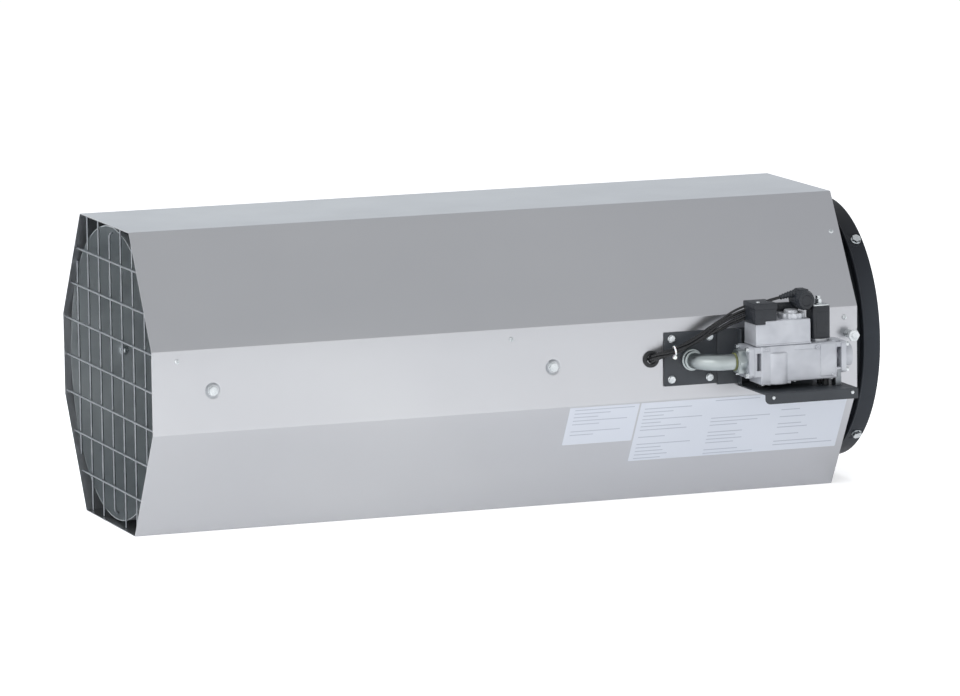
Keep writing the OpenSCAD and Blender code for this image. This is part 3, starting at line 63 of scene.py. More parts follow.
# ---- camera
cameraSet = {"right": (0.93775556, -0.34704995, -0.01307092), "up": (0.0636094, 0.13463441, 0.98885157),
    "back": (-0.34142109, -0.92813249, 0.1483298), "place": (-3.42151, -9.39318, 1.73682), "lens": 240.31,
    "sensor": 36, "reach": 200}
cameraData = bpy.data.cameras.new("studioCamera")
cameraData.lens, cameraData.sensor_width = cameraSet["lens"], cameraSet["sensor"]
cameraData.clip_end = cameraSet["reach"]
camera = addObject("studioCamera", cameraData)
camera.matrix_world = placeMatrix(*(cameraSet[key] for key in ("right", "up", "back", "place")))
scene.camera = camera
print("camera set")


# ---- surfaces as whole arrays

# Faces of a grid of rows and columns, which may close on itself either way
def gridFaces(rows, columns, closeRows=False, closeColumns=False):
    i = np.arange(rows if closeRows else rows - 1)[:, None]
    j = np.arange(columns if closeColumns else columns - 1)[None, :]
    nextRow, nextColumn = (i + 1) % rows, (j + 1) % columns
    corners = [i * columns + j, nextRow * columns + j, nextRow * columns + nextColumn, i * columns + nextColumn]
    return np.stack(corners, -1).reshape(-1, 4)


def gridSurface(points, closeRows=False, closeColumns=True):
    return points.reshape(-1, 3), [gridFaces(*points.shape[:2], closeRows, closeColumns)]


def unit(rows):
    return rows / np.linalg.norm(rows, axis=-1, keepdims=True)


def fullTurn(steps):
    return np.linspace(0, 2 * math.pi, steps, endpoint=False)


# Rings round the third axis, from radii and heights by row and angles by column
def around(radius, height, angle):
    return np.stack([radius * np.cos(angle), radius * np.sin(angle), height + 0 * angle], -1)


# The two flat ends of a grid whose columns close
def endFaces(rows, columns):
    return np.stack([np.arange(columns)[::-1], (rows - 1) * columns + np.arange(columns)])


# Places local points, whose third axis points out, on an origin with a given aim. up fixes the second axis
def stand(points, origin, aim=(0, 0, 1), up=(0, 0, 1)):
    aim = unit(np.asarray(aim, float))
    side = np.cross(up, aim)
    if np.linalg.norm(side) < 1e-6:
        side = np.cross((1, 0, 0), aim)
    side = unit(side)
    return np.asarray(origin, float) + np.asarray(points) @ np.stack([side, np.cross(aim, side), aim])


def standPatch(patch, *pose):
    return stand(patch[0], *pose), patch[1]


def standAll(patches, *pose):
    return [standPatch(patch, *pose) for patch in patches]


def lifted(patch, rise):
    return patch[0] + (0, 0, rise), patch[1]


# Rounds the corners of an outline: corner P becomes (1-t)^2 A + 2t(1-t) P + t^2 B, with A and B on its two edges
def bendCorners(outline, radius, steps=5, closed=True):
    corner = np.asarray(outline, float)
    radius = np.broadcast_to(np.asarray(radius, float), len(corner))
    back, ahead = np.roll(corner, 1, 0) - corner, np.roll(corner, -1, 0) - corner
    backLong, aheadLong = np.linalg.norm(back, axis=1), np.linalg.norm(ahead, axis=1)
    turn = np.clip((back * ahead).sum(1) / (backLong * aheadLong), -1, 1)
    reach = np.minimum(radius / np.tan(np.arccos(turn) / 2), 0.49 * np.minimum(backLong, aheadLong))
    a = corner + back / backLong[:, None] * reach[:, None]
    b = corner + ahead / aheadLong[:, None] * reach[:, None]
    t = np.linspace(0, 1, steps)[None, :, None]
    curve = (1 - t) ** 2 * a[:, None] + 2 * t * (1 - t) * corner[:, None] + t * t * b[:, None]
    if closed:
        return curve.reshape(-1, 2)
    return np.concatenate([corner[:1], curve[1:-1].reshape(-1, 2), corner[-1:]])


# A profile of (radius, height) turned round the local third axis
def turned(profile, steps=48, closed=False):
    profile = np.asarray(profile, float)
    return gridSurface(around(profile[:, :1], profile[:, 1:], fullTurn(steps)), closed)


# A solid of revolution from an outline that starts and ends on the axis, its corners rounded
def turnedSoft(outline, radius, steps=48, bend=4):
    return turned(bendCorners(outline, radius, bend, closed=False), steps)


# A ring of revolution from a closed outline, its corners rounded
def turnedRing(outline, radius, steps=64, bend=4):
    return turned(bendCorners(outline, radius, bend), steps, closed=True)


# A round solid, and a ring, between two heights
def puck(radius, low, high, soft, steps=40, bend=4):
    return turnedSoft([(0, low), (radius, low), (radius, high), (0, high)], soft, steps, bend)


def hoop(inner, outer, low, high, soft, steps=48):
    return turnedRing([(inner, low), (outer, low), (outer, high), (inner, high)], soft, steps)


# A turned solid with ribs on its outer wall: the radius there follows the cosine of the turn times their count
def ribbed(outline, soft, wall, depth, count):
    profile, angle = bendCorners(outline, soft, 5, closed=False), fullTurn(144)
    radius = profile[:, :1] + depth * np.cos(count * angle) * (profile[:, :1] > wall)
    return gridSurface(around(radius, profile[:, 1:], angle))


# A box with rounded edges: a sphere's octants pushed apart to the box's corners
def softBox(low, high, radius, steps=3):
    low, high = np.asarray(low, float), np.asarray(high, float)
    radius = min(radius, 0.49 * (high - low).min())
    quarter = np.linspace(0, math.pi / 2, steps + 1)
    lon = np.concatenate([quarter + k * math.pi / 2 for k in range(4)])[None, :]
    lonSide = np.repeat(np.arange(4), steps + 1)[None, :]
    lat = np.concatenate([quarter - math.pi / 2, quarter])[:, None]
    direction = np.stack([np.cos(lat) * np.cos(lon), np.cos(lat) * np.sin(lon), np.sin(lat) + 0 * lon], -1)
    sign = np.stack([np.where((lonSide == 0) | (lonSide == 3), 1, -1) + 0 * lat,
        np.where(lonSide < 2, 1, -1) + 0 * lat,
        np.where(np.arange(2 * steps + 2)[:, None] > steps, 1, -1) + 0 * lon], -1)
    points, faces = gridSurface((low + high) / 2 + sign * ((high - low) / 2 - radius) + radius * direction)
    return points, faces + [endFaces(*direction.shape[:2])]


def softBoxes(*rows):
    return [softBox(*row) for row in rows]


# An outline carried up through levels of (height, inset), with flat caps. The outline runs anticlockwise
def prism(outline, levels):
    edge = np.roll(outline, -1, 0) - np.roll(outline, 1, 0)
    inward = np.stack([-edge[:, 1], edge[:, 0]], 1) / np.maximum(np.linalg.norm(edge, axis=1, keepdims=True), 1e-9)
    levels = np.asarray(levels, float)
    flat = outline[None] + levels[:, 1][:, None, None] * inward[None]
    points = np.concatenate([flat, np.broadcast_to(levels[:, 0][:, None, None], flat.shape[:2] + (1,))], -1)
    patch = gridSurface(points)
    return patch[0], patch[1] + [endFaces(*points.shape[:2])]


def rectangle(width, depth, radius, steps=6):
    w, d = width / 2, depth / 2
    return bendCorners([(-w, -d), (w, -d), (w, d), (-w, d)], radius, steps)


# A rectangular plate with round corners and softened rims
def roundPlate(width, depth, corner, height, rim, steps=6):
    levels = [(0, rim), (0.3 * rim, 0.3 * rim), (rim, 0)]
    return prism(rectangle(width, depth, corner, steps), levels + [(height - h, inset) for h, inset in levels[::-1]])


# A turned hexagon: at each height the hexagon's radius, cut back to that height's limit
def hexSolid(flats, rise, limit, turn, closed=False):
    angle = fullTurn(60)
    hexRadius = flats / 2 / np.cos((angle + turn) % (math.pi / 3) - math.pi / 6)
    return gridSurface(around(np.minimum(hexRadius, limit[:, None]), rise[:, None], angle), closed)


# A hexagon head, cut back by a cone towards the free end, and by another at the seat
def hexHead(flats, height, turn=0.0, seatCone=False, crown=0.94):
    wide = flats / math.sqrt(3)
    rise = np.array([0, 0, 0.05, 0.12, 0.6, 0.86, 0.93, 0.97, 1, 1, 1]) * height
    limit = np.array([0, 0.955, 0.975, 1, 1, 1, 0.965, 0.93, 0.88, 0.7, 0]) * wide
    if not seatCone:
        limit[1:4] = wide
    limit[8] = crown * flats / 2
    return hexSolid(flats, rise, limit, turn)


# A hexagon nut with a bore: its rims are cut back at both ends and closed through the bore
def hexNut(flats, height, bore, turn=0.0):
    wide = flats / math.sqrt(3)
    rise = np.array([0, 0, 0.04, 0.1, 0.5, 0.9, 0.96, 1, 1]) * height
    limit = np.array([bore, 0.9 * wide, 0.96 * wide, wide, wide, wide, 0.96 * wide, 0.9 * wide, bore])
    return hexSolid(flats, rise, limit, turn, True)


# A threaded rod: the radius follows a triangle wave of height over pitch less the turn
def threaded(radius, low, high, pitch, depth, steps=36):
    height = np.linspace(low, high, max(8, int((high - low) / pitch * 8)))[:, None]
    angle = fullTurn(steps)
    wave = np.abs(((height / pitch - angle / (2 * math.pi)) % 1) * 2 - 1)
    fade = np.clip(np.minimum(height - low, high - height) / pitch, 0, 1)
    body = around(radius - depth * (1 - wave) - (1 - fade) * depth, height, angle)
    ends = body[[0, -1]] * np.array([0, 0, 1])
    return gridSurface(np.concatenate([ends[:1], body, ends[1:]]))


# A domed head with a crossed recess: height falls with the square of the radius and drops where the cross lies
def crossHead(radius, height, recess=0.5):
    ring = np.concatenate([[0], np.linspace(0.06, 0.97, 20), [1.0, 1.0]])[:, None] * radius
    angle = fullTurn(64)
    x, y = ring * np.cos(angle), ring * np.sin(angle)
    dome = height * np.sqrt(np.clip(1 - 0.72 * (ring / radius) ** 2, 0, 1)) + 0 * angle
    dome[-2] *= 0.8
    dome[-1] = 0
    cross = (np.minimum(np.abs(x), np.abs(y)) < 0.13 * radius) & (ring < 0.58 * radius)
    return gridSurface(np.stack([x, y, dome - recess * height * cross], -1))


# Directions along a path, and the two square to them, the first set by a side vector
def pathAxes(path, side):
    ahead = unit(np.gradient(path, axis=0))
    u = unit(np.cross(np.broadcast_to(np.asarray(side, float), path.shape), ahead))
    return u, np.cross(ahead, u)


# A round tube along a path, with a ring square to the path at each point
def tubeAlong(path, radius, sides=16, side=(0, 0, 1)):
    u, v = pathAxes(path, side)
    angle = fullTurn(sides)[None, :, None]
    radius = np.broadcast_to(np.asarray(radius, float), len(path))[:, None, None]
    rings = path[:, None] + radius * (np.cos(angle) * u[:, None] + np.sin(angle) * v[:, None])
    first, last = np.repeat(path[:1, None], sides, 1), np.repeat(path[-1:, None], sides, 1)
    return gridSurface(np.concatenate([first, rings, last]))


# A smooth curve through points: on each stretch the cubic that leaves and meets them along their neighbours' chord
def smoothPath(points, perStretch=8):
    p = np.asarray(points, float)
    before, after = np.concatenate([2 * p[:1] - p[1:2], p[:-1]]), np.concatenate([p[1:], 2 * p[-1:] - p[-2:-1]])
    slope = (after - before) / 2
    t = np.linspace(0, 1, perStretch, endpoint=False)[None, :, None]
    a, b, da, db = p[:-1, None], p[1:, None], slope[:-1, None], slope[1:, None]
    curve = (2 * t ** 3 - 3 * t ** 2 + 1) * a + (t ** 3 - 2 * t ** 2 + t) * da \
        + (3 * t ** 2 - 2 * t ** 3) * b + (t ** 3 - t ** 2) * db
    return np.concatenate([curve.reshape(-1, 3), p[-1:]])


# A rod with rounded ends between two points
def roundedRod(start, end, radius, sides=14, dome=0.35):
    start, end = np.asarray(start, float), np.asarray(end, float)
    long = np.linalg.norm(end - start)
    bow = dome * radius
    outline = [(0, 0), (radius - bow, 0), (radius, bow), (radius, long - bow), (radius - bow, long), (0, long)]
    return standPatch(turned(outline, sides), start, (end - start) / long, (0.31, 0.57, 0.76))


# Makes one object of the patches, joins doubled points and turns the faces outwards
def makePiece(name, patches, finish, node=None, body="base", crease=38):
    faces, start = [], 0
    for points, groups in patches:
        for group in groups:
            faces += (group + start).tolist()
        start += len(points)
    mesh = bpy.data.meshes.new(name)
    mesh.from_pydata((np.concatenate([patch[0] for patch in patches]) * metre).tolist(), [], faces)
    work = bmesh.new()
    work.from_mesh(mesh)
    bmesh.ops.remove_doubles(work, verts=work.verts, dist=1e-6)
    bmesh.ops.dissolve_degenerate(work, edges=work.edges, dist=1e-7)
    bmesh.ops.recalc_face_normals(work, faces=work.faces)
    work.to_mesh(mesh)
    work.free()
    mesh.shade_smooth()
    mesh.set_sharp_from_angle(angle=math.radians(crease))
    mesh.materials.append(finishes[finish])
    piece = addObject(name, mesh)
    if node:
        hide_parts(node)
    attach(piece, body)
    return piece


# ---- finishes

# A colour written as it looks on a screen
def shade(tone):
    value = np.array(tone) / 255
    return (*np.where(value <= 0.04045, value / 12.92, ((value + 0.055) / 1.055) ** 2.4), 1)


# Sets a socket, or links it where the value is itself a socket
def feed(tree, socket, value):
    if isinstance(value, bpy.types.NodeSocket):
        tree.links.new(value, socket)
    else:
        socket.default_value = value


def addNode(tree, kind, inputs=None, **settings):
    node = tree.nodes.new("ShaderNode" + kind)
    for key, value in settings.items():
        setattr(node, key, value)
    for key, value in (inputs or {}).items():
        feed(tree, node.inputs[key], value)
    return node


def calc(tree, operation, *values, **settings):
    return addNode(tree, "Math", dict(enumerate(values)), operation=operation, **settings).outputs[0]


def vectorCalc(tree, operation, a, b):
    return addNode(tree, "VectorMath", {0: a, 1: b}, operation=operation).outputs


def ranged(tree, value, low, high, outLow=0.0, outHigh=1.0, **settings):
    span = {"Value": value, "From Min": low, "From Max": high, "To Min": outLow, "To Max": outHigh}
    return addNode(tree, "MapRange", span, **settings).outputs[0]


def noise(tree, vector, scale, detail, **more):
    return addNode(tree, "TexNoise", {"Vector": vector, "Scale": scale, "Detail": detail, **more}).outputs["Fac"]


def mixColour(tree, fac, a, b):
    return addNode(tree, "Mix", {0: fac, 6: a, 7: b}, data_type="RGBA").outputs[2]


def newMaterial(name):
    material = bpy.data.materials.new(name)
    material.use_nodes = True
    return material, material.node_tree, findNode(material.node_tree, "BSDF_PRINCIPLED")


def findNode(tree, kind):
    return next(node for node in tree.nodes if node.type == kind)


# A shared effect: a group with a place and other inputs, filled by a function that returns its outputs
effects = {}


def newEffect(name, inputs, outputs, fill):
    tree = bpy.data.node_groups.new(name, "ShaderNodeTree")
    for way, labels in (("INPUT", ["Vector", *inputs]), ("OUTPUT", outputs)):
        for label in labels:
            kind = "NodeSocketVector" if label in ("Vector", "Normal") else "NodeSocketFloat"
            socket = tree.interface.new_socket(name=label, in_out=way, socket_type=kind)
            if label in inputs:
                socket.default_value = inputs[label]
    source, sink = tree.nodes.new("NodeGroupInput"), tree.nodes.new("NodeGroupOutput")
    for label, socket in zip(outputs, fill(tree, source.outputs)):
        tree.links.new(socket, sink.inputs[label])
    effects[name] = tree


def addEffect(tree, name, **inputs):
    return addNode(tree, "Group", inputs, node_tree=effects[name]).outputs


# Rolled or brushed streaks that run along X: noise stretched along the grain
def fillLines(tree, source):
    scale = addNode(tree, "CombineXYZ", {"X": source["Along"], "Y": source["Across"], "Z": source["Across"]})
    stretched = vectorCalc(tree, "MULTIPLY", source["Vector"], scale.outputs[0])[0]
    return [noise(tree, vectorCalc(tree, "MULTIPLY", stretched, (0.3, 0.035, 0.035))[0], 1.0, 2.0)]


# Broad drift of tone over a surface, and the finer smears of handling on it
def fillDrift(tree, source):
    drift = noise(tree, source["Vector"], source["Scale"], 2.0, Distortion=0.4)
    smear = noise(tree, source["Vector"], calc(tree, "MULTIPLY", source["Scale"], 7.0), 5.0, Roughness=0.65)
    return ranged(tree, drift, 0.3, 0.7), ranged(tree, smear, 0.35, 0.72)


# Skin of cast or coated pieces: fine grain, and the sparse pits between coarser grains
def fillSkin(tree, source):
    grain = noise(tree, source["Vector"], source["Scale"], 3.0)
    cells = addNode(tree, "TexVoronoi", {"Vector": source["Vector"], "Scale": source["Scale"]}).outputs["Distance"]
    pits = calc(tree, "MULTIPLY", ranged(tree, cells, 0.0, 0.35, 1.0, 0.0), source["Pits"])
    return [calc(tree, "SUBTRACT", grain, pits)]


# Rubbed edges: where a rounded normal departs from the flat one, broken up by noise
def fillRub(tree, source):
    rounded = addNode(tree, "Bevel", {"Radius": source["Radius"]}, samples=4).outputs[0]
    flat = addNode(tree, "NewGeometry").outputs["Normal"]
    edge = ranged(tree, vectorCalc(tree, "DOT_PRODUCT", rounded, flat)["Value"], 0.97, 0.8)
    broken = ranged(tree, noise(tree, source["Vector"], 160.0, 4.0, Roughness=0.7), 0.42, 0.66)
    return calc(tree, "MULTIPLY", edge, broken), rounded


# Faint ruled bars in columns down the slant, each ended at a place drawn from its row and column
ruleSet = {"down": (0, 0.52075, -0.85372), "pitch": 0.0072, "column": 0.1177, "first": 0.098, "thick": 0.24,
    "margin": 0.07, "longest": 0.9, "shortest": 0.05, "blankShare": 0.3}


def fillRules(tree, source):
    e = ruleSet
    down = vectorCalc(tree, "DOT_PRODUCT", source["Vector"], [part / e["pitch"] for part in e["down"]])["Value"]
    along = addNode(tree, "SeparateXYZ", {0: source["Vector"]}).outputs[0]
    along = calc(tree, "MULTIPLY_ADD", along, 1 / e["column"], -e["first"] / e["column"])
    cell = addNode(tree, "CombineXYZ", {0: calc(tree, "FLOOR", along), 1: calc(tree, "FLOOR", down)}).outputs[0]
    draw = addNode(tree, "TexWhiteNoise", {"Vector": cell}, noise_dimensions="2D").outputs["Value"]
    reach, length = calc(tree, "FRACT", along), calc(tree, "MULTIPLY_ADD", draw, e["longest"], e["shortest"])
    mark = calc(tree, "LESS_THAN", calc(tree, "FRACT", down), e["thick"])
    for test in (calc(tree, "GREATER_THAN", reach, e["margin"]), calc(tree, "LESS_THAN", reach, length),
            calc(tree, "GREATER_THAN", draw, e["blankShare"])):
        mark = calc(tree, "MULTIPLY", mark, test)
    return [mark]


newEffect("rolledLines", {"Along": 4.0, "Across": 900.0}, ["Streaks"], fillLines)
newEffect("toneDrift", {"Scale": 6.0}, ["Drift", "Smear"], fillDrift)
newEffect("grainSkin", {"Scale": 700.0, "Pits": 0.4}, ["Height"], fillSkin)
newEffect("edgeRub", {"Radius": 0.0006}, ["Rub", "Normal"], fillRub)
newEffect("faintRules", {}, ["Rule"], fillRules)


# One finish: two tones that drift into each other, streaks, painted shade along one axis, a grain for the bump, smears
# in the gloss and rubbed edges
def makeFinish(name, low, high, driftScale, gloss, more):
    material, tree, shader = newMaterial(name)
    place = addNode(tree, "TexCoord").outputs["Object"]
    drift = addEffect(tree, "toneDrift", Vector=place, Scale=driftScale)
    colour = mixColour(tree, drift["Drift"], shade(low), shade(high))
    if "streaks" in more:
        along, across, contrast, tone = more["streaks"]
        streaks = addEffect(tree, "rolledLines", Vector=place, Along=along, Across=across)["Streaks"]
        colour = mixColour(tree, ranged(tree, streaks, 0.3, 0.7, 0.0, contrast), colour, shade(tone))
    # fade paints shade: the colour darkens along one axis towards a darker tone, where less light falls
    if "fade" in more:
        axis, start, end, tone = more["fade"]
        reach = addNode(tree, "SeparateXYZ", {0: place}).outputs[axis]
        colour = mixColour(tree, ranged(tree, reach, start, end), colour, shade(tone))
    if "rule" in more:
        colour = mixColour(tree, addEffect(tree, "faintRules", Vector=place)["Rule"], colour, shade(more["rule"]))
    normal = None
    if "rub" in more:
        radius, tone, share = more["rub"]
        rub = addEffect(tree, "edgeRub", Vector=place, Radius=radius)
        colour = mixColour(tree, calc(tree, "MULTIPLY", rub["Rub"], share), colour, shade(tone))
        normal = rub["Normal"]
    if "grain" in more:
        scale, pits, depth = more["grain"]
        height = addEffect(tree, "grainSkin", Vector=place, Scale=scale, Pits=pits)["Height"]
        bump = {"Height": height, "Distance": depth, "Strength": 1.0, **({"Normal": normal} if normal else {})}
        normal = addNode(tree, "Bump", bump).outputs[0]
    sockets = {"Base Color": colour, "Roughness": ranged(tree, drift["Smear"], 0, 1, *gloss),
        "Metallic": more.get("metal", 0), **({"Normal": normal} if normal else {}), **more.get("sockets", {})}
    for key, value in sockets.items():
        feed(tree, shader.inputs[key], value)
    return material


# A row: darker and lighter tone, scale of their drift, range of roughness, then what only some finishes have.
# streaks are along, across, strength and tone; grain is scale, share of pits and depth; rub is width, tone and share;
# fade is painted shade: the axis, its start and end and the darker tone that it leads to
lightGrey, paleGrey = (190, 192, 196), (224, 226, 230)
looks = {
    # the stainless sheet's fade is painted shade: darker towards +X, where the light falls off
    "stainless_sheet": ((199, 200, 203), (206, 207, 209), 1.6, (0.29, 0.34),
        {"metal": 1, "streaks": (4.0, 170.0, 0.3, lightGrey), "fade": (0, -0.2, 0.7, (192, 193, 197))}),
    "tube_sheet": ((200, 206, 209), (216, 221, 223), 5, (0.44, 0.56),
        {"metal": 1, "streaks": (5.0, 150.0, 0.35, (186, 193, 197))}),
    "galvanized": ((132, 137, 142), (158, 162, 166), 40, (0.34, 0.5),
        {"metal": 1, "grain": (260, 0.3, 3e-5), "rub": (0.0006, lightGrey, 0.4)}),
    "bright_fasteners": ((200, 205, 207), (222, 226, 228), 90, (0.22, 0.34),
        {"metal": 1, "rub": (0.0004, (235, 237, 240), 0.5)}),
    # the black ring's fade is painted shade: darker towards the top of the ring and guard
    "black_ring": ((46, 50, 56), (55, 59, 65), 5, (0.4, 0.5),
        {"fade": (2, 0.25, 0.45, (12, 14, 18)), "sockets": {"Specular IOR Level": 0.18},
        "grain": (1500, 0.15, 3e-5), "rub": (0.0007, (96, 99, 104), 0.35)}),
    "grey_coat": ((44, 48, 53), (54, 58, 63), 9, (0.42, 0.56),
        {"grain": (1300, 0.3, 6e-5), "rub": (0.0006, (118, 121, 126), 0.5)}),
    "motor_black": ((30, 31, 33), (42, 43, 46), 12, (0.45, 0.6),
        {"grain": (900, 0.4, 6e-5), "rub": (0.0006, (90, 91, 94), 0.4)}),
    "blade_paint": ((48, 51, 55), (60, 63, 67), 10, (0.36, 0.5),
        {"grain": (1100, 0.2, 4e-5), "rub": (0.0006, (120, 122, 126), 0.5)}),
    "steel_parts": ((140, 142, 145), (176, 178, 181), 30, (0.28, 0.45),
        {"metal": 1, "grain": (700, 0.3, 2e-5), "rub": (0.0005, lightGrey, 0.4)}),
    "zinc_pipe": ((172, 180, 180), (188, 195, 195), 26, (0.3, 0.4),
        {"metal": 1, "rub": (0.0006, (214, 218, 216), 0.4)}),
    "cast_head": ((96, 88, 78), (122, 112, 98), 30, (0.45, 0.65),
        {"metal": 1, "grain": (500, 0.6, 1.2e-4), "rub": (0.0008, (170, 160, 140), 0.5)}),
    "brass_nozzle": ((190, 152, 84), (214, 180, 110), 60, (0.2, 0.35),
        {"metal": 1, "grain": (900, 0.2, 1e-5), "rub": (0.0004, (236, 208, 146), 0.5)}),
    "cast_aluminium": ((170, 173, 180), (190, 193, 199), 24, (0.36, 0.5),
        {"metal": 0.5, "grain": (1000, 0.35, 6e-5), "rub": (0.0007, (228, 230, 234), 0.6)}),
    "seal_rubber": ((92, 98, 62), (112, 116, 78), 60, (0.5, 0.65), {"grain": (900, 0.3, 5e-5)}),
    "grommet_black": ((20, 22, 24), (28, 30, 33), 50, (0.42, 0.56), {"grain": (900, 0.3, 4e-5)}),
    "black_plastic": ((27, 30, 35), (35, 39, 45), 20, (0.38, 0.52),
        {"grain": (1600, 0.35, 4e-5), "rub": (0.0006, (74, 77, 82), 0.4)}),
    "grey_cap": ((176, 180, 186), (198, 201, 206), 30, (0.34, 0.46),
        {"metal": 0.4, "grain": (1100, 0.25, 4e-5), "rub": (0.0006, paleGrey, 0.5)}),
    "lead_cover": ((15, 16, 18), (24, 25, 28), 30, (0.24, 0.34), {"grain": (1500, 0.2, 2e-5)}),
    "white_nylon": ((222, 224, 224), (236, 237, 236), 50, (0.34, 0.46),
        {"grain": (1200, 0.2, 2e-5), "sockets": {"Subsurface Weight": 0.1, "Subsurface Scale": 0.001}}),
    "label_film": ((206, 211, 221), (213, 218, 227), 3, (0.28, 0.36),
        {"rule": (178, 184, 196), "grain": (1500, 0.1, 1e-5)}),
    "ceramic": ((226, 220, 206), (238, 234, 224), 60, (0.16, 0.28), {"grain": (700, 0.2, 2e-5)}),
    "box_plastic": ((58, 61, 65), (68, 71, 75), 8, (0.42, 0.55),
        {"grain": (1300, 0.4, 8e-5), "rub": (0.0008, (98, 101, 105), 0.4)}),
    "reset_red": ((158, 26, 22), (178, 34, 28), 60, (0.26, 0.38), {"grain": (1200, 0.2, 3e-5)}),
    "controller_blue": ((52, 84, 128), (62, 96, 142), 20, (0.4, 0.52),
        {"grain": (1400, 0.3, 5e-5), "rub": (0.0006, (96, 128, 168), 0.4)}),
}
finishes = {name: makeFinish(name, *row) for name, row in looks.items()}
nodeSlot = {name: cadPiece.material_slots[0].material.name.split(".")[0] for name, cadPiece in cadNodes.items()}
for nodeName, cadPiece in cadNodes.items():
    cadPiece.material_slots[0].material = finishes[nodeSlot[nodeName]]
print("finishes made:", len(finishes))


# ---- casing shells
casingSet = {"end": 581, "sheet": 1, "bend": 2.6, "axisZ": 235, "halfHeight": 235, "halfWidth": 233,
    "slantAway": 232.505, "slantY": 0.85372, "slantZ": 0.52075, "seamZ": 264, "lapZ": 290, "rows": 29,
    "dishX": (-484, 69), "dishFloor": 8.5, "dishRim": 13.5, "dishDeep": 2.0, "dishSpan": 14, "bandDeep": 3.2}
c, axisZ = casingSet, casingSet["axisZ"]


# Half the octagon with each face moved in by its own inset: place and end of the band, end and place of the flat
def halfSection(sideIn, slantIn, flatIn):
    wide, high, away = c["halfWidth"] - sideIn, c["halfHeight"] - flatIn, c["slantAway"] - slantIn
    return wide, (away - c["slantY"] * wide) / c["slantZ"], (away - c["slantZ"] * high) / c["slantY"], high


def halfWidthAt(rise, inset):
    return min(c["halfWidth"] - inset, (c["slantAway"] - inset - c["slantZ"] * abs(rise)) / c["slantY"])


def halfHeightAt(out, flatIn, slantIn):
    return min(c["halfHeight"] - flatIn, (c["slantAway"] - slantIn - c["slantY"] * abs(out)) / c["slantZ"])


# The sheet's outline and its copy one thickness inside make a closed loop, carried along X and closed at the ends.
# xs is one row of places along X, or a row for each point of the outline where an end is shaped
def bentSheet(outline, xs, press=None, sheet=c["sheet"]):
    ahead = unit(np.gradient(outline, axis=0))
    loop = np.concatenate([outline, (outline + sheet * np.stack([-ahead[:, 1], ahead[:, 0]], 1))[::-1]])
    along = np.broadcast_to(xs if np.ndim(xs) == 2 else np.asarray(xs)[:, None], (len(xs), len(outline)))
    along = np.concatenate([along, along[:, ::-1]], 1)
    points = np.stack([along, np.broadcast_to(loop[:, 0], along.shape), np.broadcast_to(loop[:, 1], along.shape)], -1)
    patch = gridSurface(press(points.copy()) if press else points)
    m = len(outline)
    k = np.arange(m - 1)
    end = np.stack([k, k + 1, 2 * m - 2 - k, 2 * m - 1 - k], 1)
    return patch[0], patch[1] + [end, end + (len(xs) - 1) * 2 * m]


# The pressed dish: how far the band is pushed in falls from the floor's edge to the rim as 3s^2 - 2s^3
def pressDishes(points):
    x, y, z = points[..., 0], points[..., 1], points[..., 2]
    off = np.min([np.hypot(x - cx, z - axisZ) for cx in c["dishX"]], axis=0)
    s = np.clip((c["dishRim"] - off) / (c["dishRim"] - c["dishFloor"]), 0, 1)
    onBand = np.abs(y) > c["halfWidth"] - c["bandDeep"]
    points[..., 1] = y - np.sign(y) * c["dishDeep"] * (3 * s ** 2 - 2 * s ** 3) * onBand
    return points


def bothHalves(half):
    return np.concatenate([half, half[-2::-1] * (-1, 1)])


plainX, fine = np.linspace(-c["end"], c["end"], c["rows"]), np.linspace(-c["dishSpan"], c["dishSpan"], 43)
shellX = np.unique(np.concatenate([plainX] + [cx + fine for cx in c["dishX"]]).round(3))
wide, bendZ, bendY, high = halfSection(1, 1, 0)
bandZ = np.unique(np.concatenate([np.linspace(c["lapZ"], axisZ - bendZ + 6, 6), axisZ + fine]).round(3))[::-1]
lowerBends = bendCorners([(-wide, bandZ[-1]), (-wide, axisZ - bendZ), (-bendY, 0), (0, 0)], c["bend"], 7, False)
lowerOutline = bothHalves(np.concatenate([np.stack([0 * bandZ - wide, bandZ], 1), lowerBends[1:]]))
# both shells take the stainless finish, whose painted shade darkens them towards +X
makePiece("lowerShell", [bentSheet(lowerOutline, shellX, pressDishes)], "stainless_sheet", "lower_casing", crease=50)
wide, bendZ, bendY, high = halfSection(0, 0, 0)
upperCorners = [(-wide, c["seamZ"]), (-wide, axisZ + bendZ), (-bendY, 2 * high), (0, 2 * high)]
upperOutline = bothHalves(bendCorners(upperCorners, c["bend"], 7, False))[::-1]
makePiece("upperShell", [bentSheet(upperOutline, plainX)], "stainless_sheet", "upper_casing", crease=50)
print("casing shells made")


